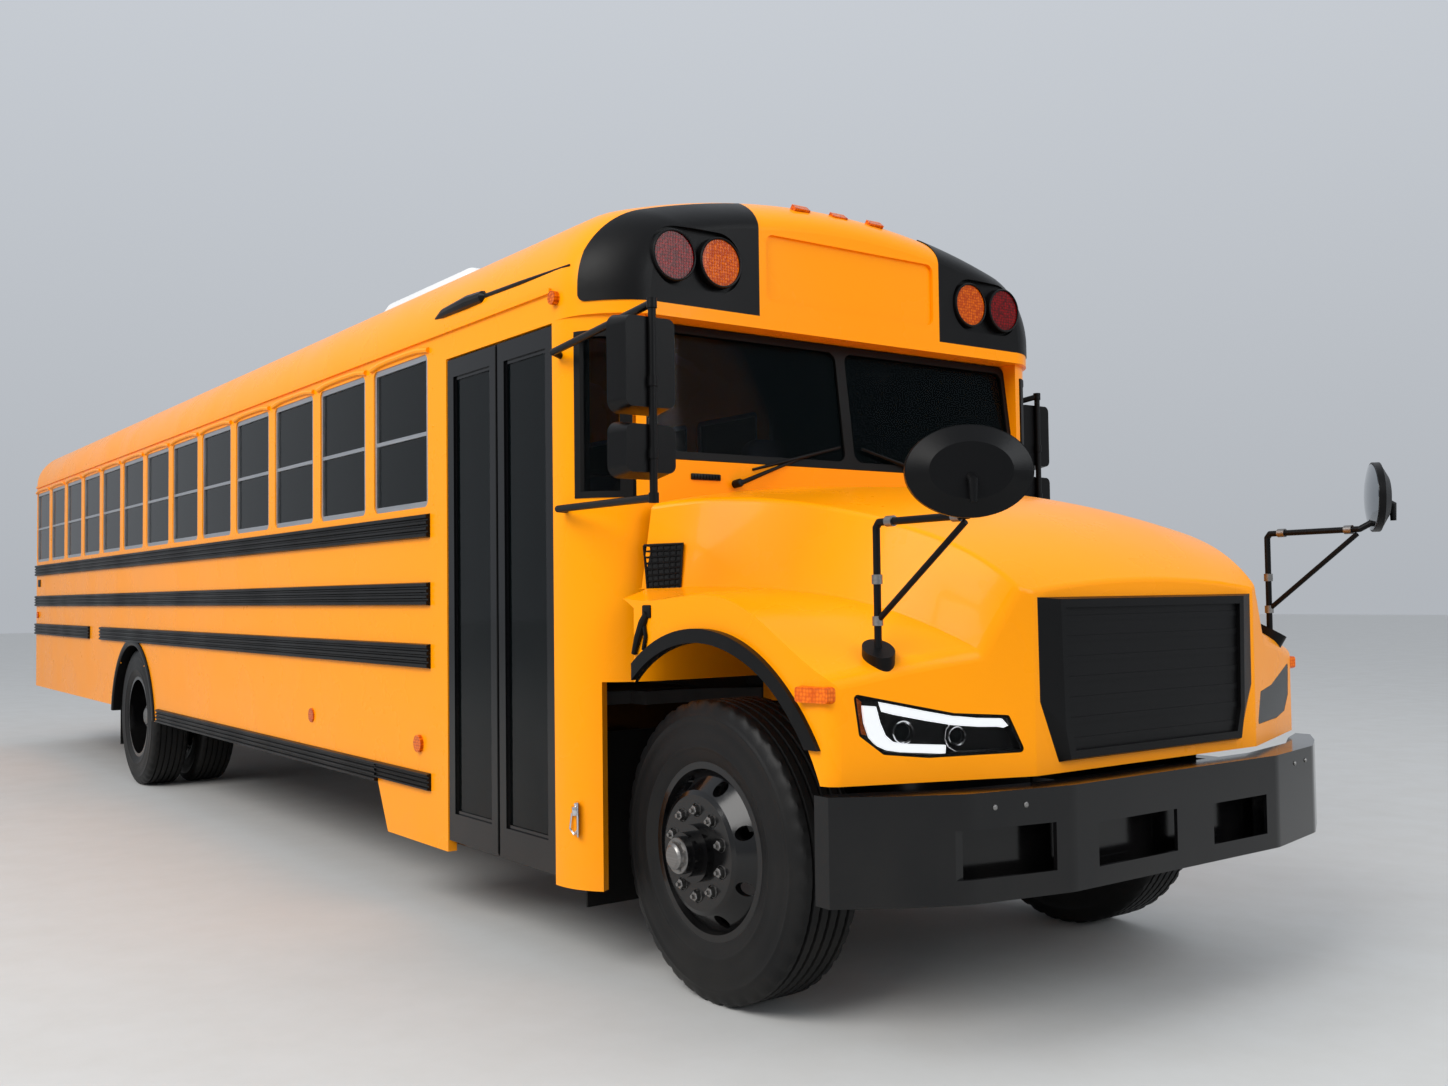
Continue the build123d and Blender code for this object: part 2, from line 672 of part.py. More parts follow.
beam_half = kingpin_half - 75
with BuildPart() as front_axle:
    block((front_axle_x - 50, front_axle_x + 50), (-beam_half, beam_half), (tyre_radius - 120, tyre_radius - 30))
    for side in (-1, 1):
        block((front_axle_x - 50, front_axle_x + 50), span(side, beam_half - 60, beam_half),
              (tyre_radius - 120, tyre_radius + 50))
        block((front_axle_x - 26, front_axle_x + 26), span(side, beam_half - 10, kingpin_half),
              (tyre_radius - 50, tyre_radius + 50))
        with Locations((front_axle_x, side * kingpin_half, tyre_radius)):
            Cylinder(kingpin_radius, 100)
finish(front_axle, "front_axle")

with BuildPart() as rear_axle:
    with Locations(Location((rear_axle_x, 0, tyre_radius), (90, 0, 0))):
        Cylinder(75, 2 * 860)
    with Locations((rear_axle_x, 0, tyre_radius)):
        Sphere(215)
    with Locations(Location((rear_axle_x + 200, 0, tyre_radius + 10), (0, 90, 0))):
        Cylinder(95, 130)
    for side in (-1, 1):
        with Locations(Location((rear_axle_x, side * 735, tyre_radius), (90, 0, 0))):
            Cylinder(205, 220)
        block((rear_axle_x - 60, rear_axle_x + 60), span(side, *spring_y), (tyre_radius, tyre_radius + 80))
finish(rear_axle, "rear_axle")

flap_sheet = 8
# columns: x, inner |y|, outer |y|, low z, high z
flap_table = ((4380, 700, 1150, 240, 870), (-2770, 600, 1170, 250, 895))
with BuildPart() as mud_flaps:
    for x, inner, outer, low, high in flap_table:
        for side in (-1, 1):
            block((x - flap_sheet, x), span(side, inner, outer), (low, high))
            block((x - flap_sheet - 30, x - flap_sheet), span(side, rail_half_span, outer - 40),
                  (high - 60, high - 20))
finish(mud_flaps, "mud_flaps")

# --- Bumpers ------------------------------------------------------------------
# columns: x, |y| of the bumper's face seen from above
bumper_face = ((6095, 530), (6020, 885), (5925, 1060), (5812, 1225))
# columns: middle y, width, low z, high z
bumper_holes = ((-779, 376, 566, 704), (-226, 384, 556, 686), (310, 302, 552, 682))


def bumper_plan(z, inset):
    """Plan outline of the front bumper, drawn in by the inset."""
    face = [(x - inset, y - inset / 2) for x, y in bumper_face]
    back = [(x - bumper_depth + inset, y - inset / 2) for x, y in bumper_face[:-1]]
    right = face + [(face[-1][0] - 60, face[-1][1])] + back[::-1]
    outline = right + [(x, -y) for x, y in right[::-1]]
    with BuildSketch(Plane.XY.offset(z)) as plan:
        with BuildLine():
            Polyline(*outline, close=True)
        make_face()
    return plan.sketch


with BuildPart() as front_bumper:
    extrude(bumper_plan(bumper_bottom_z, 0), amount=bumper_top_z - bumper_bottom_z)
    face_edges = [
        edge for edge in front_bumper.edges().filter_by(Axis.Z)
        if any(abs(edge.center().X - x) + abs(abs(edge.center().Y) - y) < 1 for x, y in bumper_face[:3])
    ]
    fillet(face_edges, 140)
    inner_height = bumper_top_z - bumper_bottom_z - 2 * bumper_plate
    channel = bumper_plan(bumper_bottom_z + bumper_plate, bumper_plate)
    extrude(channel, amount=inner_height, mode=Mode.SUBTRACT)
    for y, width, low, high in bumper_holes:
        block((6000, 6200), (y - width / 2, y + width / 2), (low, high), Mode.SUBTRACT)
    for side in (-1, 1):
        block((rail_front_x, 6015), span(side, 350, 426), (700, bumper_top_z - bumper_plate + 2))
finish(front_bumper, "front_bumper")

with BuildPart() as rear_bumper:
    block((rear_x - 130, rear_x - 4), (-1180, 1180), (560, 800))
    fillet(rear_bumper.edges().filter_by(Axis.Z).group_by(Axis.X)[0], 60)
    block((rear_x - 118, rear_x - 4), (-1166, 1166), (572, 788), Mode.SUBTRACT)
    for side in (-1, 1):
        block((rear_x - 122, rear_x - 4), span(side, 360, 430), (700, 780))
finish(rear_bumper, "rear_bumper")

# --- Seats and the driver's place ------------------------------------------------
seat_pitch = 800
seat_rows = 11
seat_front_x = 2500
seat_z = 1290
with BuildPart() as passenger_seats:
    for row in range(seat_rows):
        x = seat_front_x - row * seat_pitch
        over_wheel = abs(x - 250 - rear_axle_x) < 900
        for side in (-1, 1):
            y_range = span(side, 200, 1150)
            with BuildSketch(Plane.XZ.offset(-y_range[1])) as seat:
                with BuildLine():
                    FilletPolyline(
                        (x, seat_z), (x, seat_z + 150), (x - 420, seat_z + 140), (x - 480, seat_z + 790),
                        (x - 565, seat_z + 790), (x - 525, seat_z),
                        radius=28, close=True,
                    )
                make_face()
            extrude(seat.sketch, amount=y_range[1] - y_range[0])
            foot_z = house_top_z if over_wheel else floor_z
            for leg_y in (260, 1090):
                block((x - 400, x - 100), span(side, leg_y - 18, leg_y + 18), (foot_z, seat_z + 5))
finish(passenger_seats, "passenger_seats")

with BuildPart() as driver_seat:
    with BuildSketch(Plane.XZ.offset(-330)) as cushion:
        with BuildLine():
            FilletPolyline((3990, 1350), (3990, 1470), (3560, 1455), (3455, 2150), (3345, 2150),
                           (3430, 1350), radius=34, close=True)
        make_face()
    extrude(cushion.sketch, amount=-500)
    block((3600, 3850), (480, 680), (floor_z, 1352))
finish(driver_seat, "driver_seat")

with BuildPart() as dashboard:
    with BuildSketch(Plane.XZ.offset(960)) as bulk:
        with BuildLine():
            FilletPolyline((4520, 1300), (4520, 1820), (4330, 1850), (4230, 1700), (4300, 1300),
                           radius=30, close=True)
        make_face()
    extrude(bulk.sketch, amount=-1920)
    with BuildSketch(Plane.XZ.offset(-560)) as column:
        with BuildLine():
            Polyline((4270, 1420), (4270, 1540), (4120, 1650), (4080, 1600), close=True)
        make_face()
    extrude(column.sketch, amount=-80)
    wheel_plane = Plane(origin=(4085, 600, 1635), x_dir=(0, 1, 0), z_dir=(-0.65, 0, 0.76))
    with Locations(wheel_plane):
        Torus(210, 15)
    with BuildSketch(wheel_plane) as spokes:
        Circle(55)
        for turn in (0, 120, 240):
            with Locations(Rotation(0, 0, turn) * Location((105, 0))):
                Rectangle(210, 34)
    extrude(spokes.sketch, amount=9, both=True)
    for y in (-380, 360):
        block((4350, 4500), (y, y + 100), (floor_z, 1310))
finish(dashboard, "dashboard")

# --- Entrance door: two leaves on outer jamb hinges --------------------------------
leaf_width = (cowl_seam_x - door_rear_x) / 2 - door_gap - 6
leaf_out_y = -half_width + 4
leaf_z = (door_bottom_z + 8, door_top_z - 8)
glass_z = (leaf_z[0] + 130, leaf_z[1] - 90)
# columns: name, low x, high x
leaf_table = (
    ("rear", door_rear_x + door_gap, door_rear_x + door_gap + leaf_width),
    ("front", cowl_seam_x - door_gap - leaf_width, cowl_seam_x - door_gap),
)
for name, x0, x1 in leaf_table:
    glass_x = (x0 + leaf_frame, x1 - leaf_frame)
    leaf_y = (leaf_out_y, leaf_out_y + leaf_thickness)
    with BuildPart() as leaf:
        block((x0, x1), leaf_y, leaf_z)
        block(glass_x, (leaf_y[0] - 1, leaf_y[1] + 1), glass_z, Mode.SUBTRACT)
        step_x = (glass_x[0] - 14, glass_x[1] + 14)
        block(step_x, (leaf_y[0] - 1, leaf_y[0] + 9), (glass_z[0] - 14, glass_z[1] + 14), Mode.SUBTRACT)
    finish(leaf, f"door_leaf_{name}")
    with BuildPart() as leaf_glass:
        block(glass_x, (leaf_out_y + 15, leaf_out_y + 15 + glass_thickness), glass_z)
    finish(leaf_glass, f"door_glass_{name}")

# --- Rear emergency door ------------------------------------------------------------
rear_panes = ((1150, 1600), (1773, 2300))
pane_half = rear_door_half - 90
with BuildPart() as rear_door:
    door_y = (-rear_door_half + door_gap, rear_door_half - door_gap)
    block((rear_x, rear_x + wall), door_y, (floor_z + door_gap, rear_door_top_z - door_gap))
    for pane in rear_panes:
        block((rear_x - 1, rear_x + wall + 1), (-pane_half, pane_half), pane, Mode.SUBTRACT)
    block((rear_x - 34, rear_x), (250, 300), (1640, 1740))
    block((rear_x - 34, rear_x - 18), (150, 300), (1680, 1706))
finish(rear_door, "rear_door")

with BuildPart() as rear_door_glass:
    for pane in rear_panes:
        block((rear_x + 16, rear_x + 16 + glass_thickness), (-pane_half, pane_half), pane)
finish(rear_door_glass, "rear_door_glass")

# --- Stop arm ---------------------------------------------------------------------
stop_arm_x = 3700
stop_arm_z = 1465
stop_arm_y = half_width + 60
with BuildPart() as stop_arm:
    with BuildSketch(Plane.XZ.offset(-stop_arm_y)) as plate:
        with Locations((stop_arm_x - 250, stop_arm_z)):
            RegularPolygon(243, 8, rotation=22.5)
        with Locations((stop_arm_x - 20, stop_arm_z)):
            Rectangle(60, 300)
    extrude(plate.sketch, amount=6, both=True)
finish(stop_arm, "stop_arm")

with BuildPart() as stop_arm_bracket:
    block((stop_arm_x + 20, stop_arm_x + 50), (half_width, stop_arm_y + 10), (stop_arm_z - 135, stop_arm_z + 135))
finish(stop_arm_bracket, "stop_arm_bracket")

# --- Side mirrors on their tube frames ---------------------------------------------
tube_radius = 13
mirror_width = 215
mirror_depth = 92
# columns: side, x of the heads, |y| of the heads, x of the upper and lower feet
side_mirror_table = (
    (-1, 5065, 1334, 4330, 4360),
    (1, 4344, 1350, 4300, 4310),
)
# columns: middle z, height
mirror_heads = ((2113, 318), (1837, 182))
with BuildPart() as side_mirrors:
    for side, x, y, top_x, low_x in side_mirror_table:
        for z, height in mirror_heads:
            with BuildSketch(Plane.YZ.offset(x - mirror_depth / 2)) as head:
                with Locations((side * y, z)):
                    RectangleRounded(mirror_width, height, 40)
            extrude(head.sketch, amount=mirror_depth, taper=9)
        bar_x = x + mirror_depth / 2 + 10
        foot_y = side * (half_width - 4)
        tube(
            (
                (top_x, foot_y, 2262), (top_x + 20, side * (half_width + 40), 2268),
                (bar_x, side * y, 2300), (bar_x, side * y, 1680),
                (low_x + 20, side * (half_width + 40), 1690), (low_x, foot_y, 1690),
            ),
            tube_radius,
        )
        for z in (2050, 1820):
            block((x + 20, bar_x), span(side, y - 10, y + 10), (z - 30, z + 30))
    add(outer_body, mode=Mode.SUBTRACT)
finish(side_mirrors, "side_mirrors")

# --- Hood ---------------------------------------------------------------------------
nose_edge_half = 570
lamp_turn = (-0.3450, 0.9386)       # direction of the swept lamp face in plan, going outboard
lamp_run = 820


def hood_plan(z, inset):
    """Plan outline of the nose: grille face and the two swept lamp faces."""
    outer = (hood_front_x + lamp_turn[0] * lamp_run, nose_edge_half + lamp_turn[1] * lamp_run)
    half = [(hood_front_x, nose_edge_half), outer]
    right = [(x - inset, y) for x, y in half] + [(4500, outer[1])]
    with BuildSketch(Plane.XY.offset(z)) as plan:
        with BuildLine():
            Polyline(*right, *[(x, -y) for x, y in right[::-1]], close=True)
        make_face()
    return plan.sketch


def nose_edges(body):
    """Edges where the upright nose faces end, apart from their lower edges."""
    found = []
    for edge in body.edges():
        box = edge.bounding_box()
        faces = [face for face in body.faces() if any(side.is_same(edge) for side in face.edges())]
        upright = [face for face in faces if abs(face.normal_at(face.center()).Z) < 1e-3]
        straight = max(box.size.X, box.size.Y) < 1
        if box.min.X > 5540 and (straight or (len(upright) == 1 and box.min.Z > 880)):
            found.append(edge)
    return found


with BuildPart() as hood_outer:
    add(hood_loft(0, hood_bottom_z))
    extrude(hood_plan(hood_bottom_z - 10, 0), amount=1200, mode=Mode.INTERSECT)
    edges = nose_edges(hood_outer)
    fillet([edge for edge in edges if edge.bounding_box().min.X < hood_front_x - 45], 60)
    edges = nose_edges(hood_outer)
    fillet([edge for edge in edges if edge.bounding_box().min.X > hood_front_x - 45], 25)

with BuildPart() as hood_inner:
    add(hood_loft(hood_skin, hood_bottom_z - 10))
    extrude(hood_plan(hood_bottom_z - 20, nose_wall), amount=1200, mode=Mode.INTERSECT)

# columns: distance outboard along the lamp face, z
lamp_outline = (
    (577, 1086), (445, 1058), (264, 1020), (87, 1008), (34, 897), (346, 894), (486, 909), (561, 966),
)
lamp_pocket = 60
lens_thickness = 5


def lamp_sketch(side, inset, depth):
    """Outline of one headlamp on a plane parallel to its face."""
    normal = (lamp_turn[1], -side * lamp_turn[0], 0)
    origin = (hood_front_x - normal[0] * depth, side * nose_edge_half - normal[1] * depth, 0)
    face = Plane(origin=origin, x_dir=(side * lamp_turn[0], lamp_turn[1], 0), z_dir=normal)
    with BuildSketch(face) as outline:
        with BuildLine():
            FilletPolyline(*[(side * s, z) for s, z in lamp_outline], radius=12, close=True)
        make_face()
        if inset:
            offset(amount=-inset)
    return outline.sketch


# columns: half width, z of the grille surround at the hood face and at its front
grille_base = ((552, 1352), (549, 1042), (470, 858))
grille_rim = ((476, 1346), (465, 960), (444, 866))
grille_mouth = ((452, 1320), (443, 965), (420, 890))
grille_bars = 7


def mirrored(points, x):
    """Closed sketch across the vehicle from one half of its outline."""
    with BuildSketch(Plane.YZ.offset(x)) as shape:
        with BuildLine():
            Polyline(*points, *[(-y, z) for y, z in points[::-1]], close=True)
        make_face()
    return shape.sketch


arch_x, arch_z, arch_radius = arch
with BuildPart() as hood:
    add(hood_outer.part)
    add(hood_inner.part, mode=Mode.SUBTRACT)
    add(rear_split(cowl_edge_x + hood_gap), mode=Mode.SUBTRACT)
    with BuildSketch(Plane.XZ) as corner:
        with BuildLine():
            Polyline((4400, 700), (4400, 1396), (4640, 1396), (4782, 1330), (4782, 700), close=True)
        make_face()
    extrude(corner.sketch, amount=1400, both=True, mode=Mode.SUBTRACT)
    with Locations(Location((arch_x, 0, arch_z), (90, 0, 0))):
        Cylinder(arch_radius, 2600, mode=Mode.SUBTRACT)
    extrude(mirrored(((470, 1325), (465, 1045), (430, 890)), hood_front_x - 90), amount=120, mode=Mode.SUBTRACT)
    for side in (-1, 1):
        extrude(lamp_sketch(side, 0, lamp_pocket), amount=lamp_pocket + 20, mode=Mode.SUBTRACT)
finish(hood, "hood")

with BuildPart() as fender_flares:
    ring = (arch_radius, arch_radius + flare_width)
    for side in (-1, 1):
        with Locations(Location((arch_x, side * 1150, arch_z), (90, 0, 0))):
            Cylinder(ring[1], 150)
    with Locations(Location((arch_x, 0, arch_z), (90, 0, 0))):
        Cylinder(ring[0], 2600, mode=Mode.SUBTRACT)
    with BuildSketch(Plane.XY.offset(925)) as reach_plan:
        with BuildLine():
            half = ((4792, 1216), (5350, 1216), (5640, 1208), (5790, 1196))
            Polyline(*half, *[(x, -y) for x, y in half[::-1]], close=True)
        make_face()
    extrude(reach_plan.sketch, amount=500, mode=Mode.INTERSECT)
    add(hood_outer.part, mode=Mode.SUBTRACT)
finish(fender_flares, "fender_flares")

with BuildPart() as grille:
    add(mirrored(grille_base, hood_front_x))
    add(mirrored(grille_rim, grille_front_x))
    loft(ruled=True)
    extrude(mirrored(grille_mouth, hood_front_x + 12), amount=100, mode=Mode.SUBTRACT)
with BuildPart() as bars:
    pitch = (grille_mouth[0][1] - grille_mouth[2][1]) / grille_bars
    for i in range(grille_bars):
        z = grille_mouth[2][1] + pitch * (i + 0.5)
        with BuildSketch(Plane.XZ.offset(-476)) as blade:
            with BuildLine():
                x = grille_front_x - 12
                Polyline((x, z - 12), (x, z + 6), (x - 34, z + 18), (x - 34, z + 10), close=True)
            make_face()
        extrude(blade.sketch, amount=952)
    with BuildPart(mode=Mode.INTERSECT):
        add(mirrored(grille_base, hood_front_x))
        add(mirrored(grille_rim, grille_front_x))
        loft(ruled=True)
with BuildPart() as whole_grille:
    add(grille.part)
    add(bars.part)
finish(whole_grille, "grille")

with BuildPart() as headlamps:
    for side in (-1, 1):
        extrude(lamp_sketch(side, 1, lamp_pocket - 1), amount=lamp_pocket - 1 - lens_thickness - 1)
        extrude(lamp_sketch(side, 9, lamp_pocket - 10), amount=lamp_pocket, mode=Mode.SUBTRACT)
finish(headlamps, "headlamps")

with BuildPart() as headlamp_lenses:
    for side in (-1, 1):
        extrude(lamp_sketch(side, 1, lens_thickness + 0.5), amount=lens_thickness)
finish(headlamp_lenses, "headlamp_lenses")

with BuildPart() as fender_lamps:
    for side in (-1, 1):
        with BuildSketch(Plane(origin=(5712, side * 1162, 1083), z_dir=(0.19, side * 0.98, 0))) as lamp:
            RectangleRounded(128, 54, 14)
        extrude(lamp.sketch, amount=44, taper=6)
    add(hood_outer.part, mode=Mode.SUBTRACT)
finish(fender_lamps, "fender_lamps")

# --- Crossover mirrors on the fenders --------------------------------------------------
mirror_post = (5790, 1006)
mirror_centre = (6200, 1050, 1690)
with BuildPart() as crossover_mirrors:
    post_x, post_y = mirror_post
    for side in (-1, 1):
        y = side * post_y
        tube(
            (
                (post_x, y, 1120), (post_x, y, 1560), (post_x + 12, y, 1575), (6150, y, 1577),
                (6186, side * (post_y + 20), 1600), (6192, side * (post_y + 34), 1670),
            ),
            tube_radius - 2,
        )
        tube(((post_x, y, 1290), (6140, y, 1560)), tube_radius - 4)
        back = Plane(origin=(mirror_centre[0], side * mirror_centre[1], mirror_centre[2]),
                     x_dir=(-side * 0.58, 0.81, 0), z_dir=(0.81, side * 0.58, 0))
        with BuildSketch(back.offset(-22)) as rim:
            Ellipse(172, 124)
        extrude(rim.sketch, amount=22)
        with BuildSketch(back) as dome_base:
            Ellipse(170, 122)
        with BuildSketch(back.offset(26)) as dome_top:
            Ellipse(112, 76)
        loft([dome_base.sketch, dome_top.sketch])
        foot_plane = Plane(origin=(post_x, y, 1190), z_dir=(0.4, side * 0.33, 0.9))
        with BuildSketch(foot_plane) as foot:
            Ellipse(56, 42)
        extrude(foot.sketch, amount=24, both=True)
    add(hood_outer.part, mode=Mode.SUBTRACT)
finish(crossover_mirrors, "crossover_mirrors")


# --- Wheels --------------------------------------------------------------------------
def turning_plane(axle_x, centre_y, side):
    """Plane through a wheel's axis: local x outboard from the tyre's centre plane, y outward."""
    return Plane(origin=(axle_x, centre_y, tyre_radius), x_dir=(0, side, 0), z_dir=(side, 0, 0))


def tyre_profile(axle_x, centre_y):
    """Half-section of a tyre with its bead seats, shoulders and tread."""
    half = tyre_width / 2
    bead = rim_half - rim_lip
    with BuildSketch(turning_plane(axle_x, centre_y, 1)) as profile:
        with BuildLine():
            right = [
                (bead, rim_radius), (bead, rim_radius + rim_lip + 4), (half - 6, rim_radius + 52),
                (half, rim_radius + 104), (half - 9, tyre_radius - 40), (half - 32, tyre_radius),
            ]
            Polyline(*right, *[(-y, r) for y, r in right[::-1]], close=True)
        make_face()
    return profile.sketch


def wheel_profile(axle_x, centre_y, side, hub_ends):
    """Rim, dished disc and hub, as a half-section about the wheel axis."""
    face = disc_offset
    inner = rim_radius - barrel
    lip = rim_radius + rim_lip
    seat = rim_half - rim_lip + 1
    with BuildSketch(turning_plane(axle_x, centre_y, side)) as profile:
        with BuildLine():
            Polyline(
                (-rim_half, lip), (-seat, lip), (-seat, rim_radius), (seat, rim_radius), (seat, lip),
                (rim_half, lip), (rim_half, inner), (rim_half - 22, inner - 8), (face - 8, 208),
                (face, 192), (face, 90), (face - 14, 90), (face - 14, 188), (face - 22, 200),
                (rim_half - 40, inner - 12), (rim_half - 40, inner), (-rim_half, inner),
                close=True,
            )
        make_face()
        for low, high, radius in hub_ends:
            with Locations(((low + high) / 2, radius / 2)):
                Rectangle(high - low, radius)
    return profile.sketch


def cut_hand_holes(axle_x, centre_y):
    """Round holes through the sloping part of a disc."""
    for i in range(hand_holes):
        angle = 2 * pi / hand_holes * (i + 0.5)
        place = (axle_x + 236 * cos(angle), centre_y, tyre_radius + 236 * sin(angle))
        with Locations(Location(place, (90, 0, 0))):
            Cylinder(24, 2 * disc_offset - 20, mode=Mode.SUBTRACT)


for name, side in (("right", -1), ("left", 1)):
    spin = Axis((front_axle_x, 0, tyre_radius), (0, 1, 0))
    centre = side * front_track_half
    with BuildPart() as tyre:
        revolve(tyre_profile(front_axle_x, centre), axis=spin)
    finish(tyre, f"front_tyre_{name}")
    hub_start = kingpin_half + 76 - front_track_half
    spindle_end = kingpin_half + 150
    # columns: low and high along the axis from the tyre's centre plane, radius
    front_hub = ((hub_start, disc_offset, 112), (disc_offset, 186, 96), (186, 222, 74), (222, 240, 62))
    with BuildPart() as wheel:
        revolve(wheel_profile(front_axle_x, centre, side, front_hub), axis=spin)
        cut_hand_holes(front_axle_x, centre)
        bore = span(side, kingpin_half + 70, spindle_end + bore_gap)
        with Locations(Location((front_axle_x, sum(bore) / 2, tyre_radius), (90, 0, 0))):
            Cylinder(spindle_radius + bore_gap, bore[1] - bore[0], mode=Mode.SUBTRACT)
    finish(wheel, f"front_wheel_{name}")
    with BuildPart() as knuckle:
        arm_z = (50 + knuckle_gap, 96)
        plate_y = (kingpin_half + kingpin_radius + knuckle_gap + 2, kingpin_half + 66)
        for low, high in (arm_z, (-arm_z[1], -arm_z[0])):
            with Locations((front_axle_x, side * kingpin_half, tyre_radius + (low + high) / 2)):
                Cylinder(50, high - low)
            block((front_axle_x - 50, front_axle_x + 50), span(side, kingpin_half, plate_y[1]),
                  (tyre_radius + low, tyre_radius + high))
        block((front_axle_x - 50, front_axle_x + 50), span(side, *plate_y),
              (tyre_radius - arm_z[1], tyre_radius + arm_z[1]))
        spindle = span(side, plate_y[1] - 5, spindle_end)
        with Locations(Location((front_axle_x, sum(spindle) / 2, tyre_radius), (90, 0, 0))):
            Cylinder(spindle_radius, spindle[1] - spindle[0])
    finish(knuckle, f"steering_knuckle_{name}")

    spin = Axis((rear_axle_x, 0, tyre_radius), (0, 1, 0))
    outer_y = side * rear_outer_half
    inner_wheel_y = side * (rear_outer_half - dual_spacing)
    with BuildPart() as tyres:
        for centre in (outer_y, inner_wheel_y):
            revolve(tyre_profile(rear_axle_x, centre), axis=spin)
    finish(tyres, f"rear_tyres_{name}")
    # measured outboard of the outer tyre's centre plane, and of the inner one's
    outer_hub = ((-disc_offset, 10, 112), (10, 46, 96))
    inner_hub = ((disc_offset - 12, disc_offset + 20, 112),)
    with BuildPart() as wheels:
        flipped = tuple((-high, -low, radius) for low, high, radius in outer_hub)
        revolve(wheel_profile(rear_axle_x, outer_y, -side, flipped), axis=spin)
        revolve(wheel_profile(rear_axle_x, inner_wheel_y, side, inner_hub), axis=spin)
        cut_hand_holes(rear_axle_x, outer_y)
    finish(wheels, f"rear_wheels_{name}")
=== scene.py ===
from math import cos, pi, sin

import bmesh
import bpy
from mathutils import Matrix, Vector


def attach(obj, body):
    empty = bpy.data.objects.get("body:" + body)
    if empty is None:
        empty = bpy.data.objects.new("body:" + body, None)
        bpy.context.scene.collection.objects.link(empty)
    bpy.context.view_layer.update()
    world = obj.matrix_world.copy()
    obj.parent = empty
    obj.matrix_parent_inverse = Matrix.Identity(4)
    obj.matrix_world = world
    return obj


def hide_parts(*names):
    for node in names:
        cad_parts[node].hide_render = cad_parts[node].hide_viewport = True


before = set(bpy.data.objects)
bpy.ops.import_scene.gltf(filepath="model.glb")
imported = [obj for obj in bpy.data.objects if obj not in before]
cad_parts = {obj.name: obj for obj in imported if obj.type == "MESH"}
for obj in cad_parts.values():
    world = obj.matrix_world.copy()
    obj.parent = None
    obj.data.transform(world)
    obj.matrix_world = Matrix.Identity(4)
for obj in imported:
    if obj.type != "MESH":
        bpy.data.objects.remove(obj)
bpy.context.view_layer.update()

# %% [markdown]
# Distances are in metres. X runs forward, Y to the left of the bus and Z up from the
# road. Places that several cells share are named here once. Each side is a word for
# the names of its pieces, and the sign that Y has on that side.

# %% Places that several pieces share
sides = (("right", -1), ("left", 1))
front_axle_x, rear_axle_x, axle_height = 4.945, -2.165, 0.508
window_count, window_front_x, window_pitch, skin_y = 13, 3.160, 0.72, 1.219
row_count, row_front_x, row_pitch = 11, 2.5, 0.8

# %% [markdown]
# The camera stands low, ahead of the bus and to its right. Its axes are worked out
# from a yaw, a pitch and a small roll. Writing the three axes as the columns of a
# matrix is safer than stacking rotations, because nothing depends on their order.

# %% Camera
scene = bpy.context.scene
eye_point, yaw, pitch, roll = (8.6592, -3.6816, 1.3726), 2.5040, 0.0381, -0.0126
forward = Vector((cos(pitch) * cos(yaw), cos(pitch) * sin(yaw), sin(pitch)))
right = Vector((sin(yaw), -cos(yaw), 0))
up = right.cross(forward)
lens_x = cos(roll) * right + sin(roll) * up
lens_y = -sin(roll) * right + cos(roll) * up
camera_data = bpy.data.cameras.new("camera")
camera = bpy.data.objects.new("camera", camera_data)
scene.collection.objects.link(camera)
camera.matrix_world = Matrix.Translation(eye_point) @ Matrix(
    (lens_x, lens_y, -forward)).transposed().to_4x4()
camera_data.lens, camera_data.sensor_width = 33.453, 36
camera_data.clip_start, camera_data.clip_end = 0.05, 200
camera_data.dof.use_dof = False
scene.camera = camera
print("camera", [round(v, 3) for v in camera.location], "lens", camera_data.lens)

# %% [markdown]
# The sky and every finish are worked out by nodes. These helpers add a node to a tree
# and give back the output of the kinds that are used most, so that one step is one
# line. An input takes either the output of another node or a constant.

# %% Helpers for nodes


def feed(tree, socket, value):
    """Gives an input socket a link from another socket, or a constant."""
    if isinstance(value, bpy.types.NodeSocket):
        tree.links.new(value, socket)
    else:
        socket.default_value = value


def add_node(tree, kind, inputs=None, **settings):
    """A node with its settings, and what its inputs take by name or by place."""
    node = tree.nodes.new(kind)
    for key, value in settings.items():
        setattr(node, key, value)
    for title, value in (inputs or {}).items():
        feed(tree, node.inputs[title], value)
    return node


def maths(tree, operation, first, second=0.0):
    """The result of a sum, a product or a comparison."""
    return add_node(tree, "ShaderNodeMath", {0: first, 1: second}, operation=operation).outputs[0]


def ramp(tree, value, from_min=0.0, from_max=1.0, to_min=0.0, to_max=1.0):
    """A value carried from one range over to another, and held inside it."""
    ends = {"From Min": from_min, "From Max": from_max, "To Min": to_min, "To Max": to_max}
    return add_node(tree, "ShaderNodeMapRange", {"Value": value, **ends}).outputs["Result"]


def mix_colours(tree, share, first, second):
    """A blend of two colours. A Mix node has its colours at inputs 6 and 7 and output 2."""
    return add_node(tree, "ShaderNodeMix", {0: share, 6: first, 7: second}, data_type="RGBA").outputs[2]


def object_point(tree):
    """Where the shaded point lies on its object."""
    return add_node(tree, "ShaderNodeTexCoord").outputs["Object"]


def axes_of(tree, vector):
    """The X, Y and Z of a vector."""
    return add_node(tree, "ShaderNodeSeparateXYZ", {"Vector": vector}).outputs


def noise(tree, scale, detail, roughness=0.5, point=None):
    """Cloudy noise from 0 to 1, at the object's own points unless others are given."""
    inputs = {"Vector": point or object_point(tree), "Scale": scale, "Detail": detail, "Roughness": roughness}
    return add_node(tree, "ShaderNodeTexNoise", inputs).outputs["Fac"]


print("helpers for nodes ready")

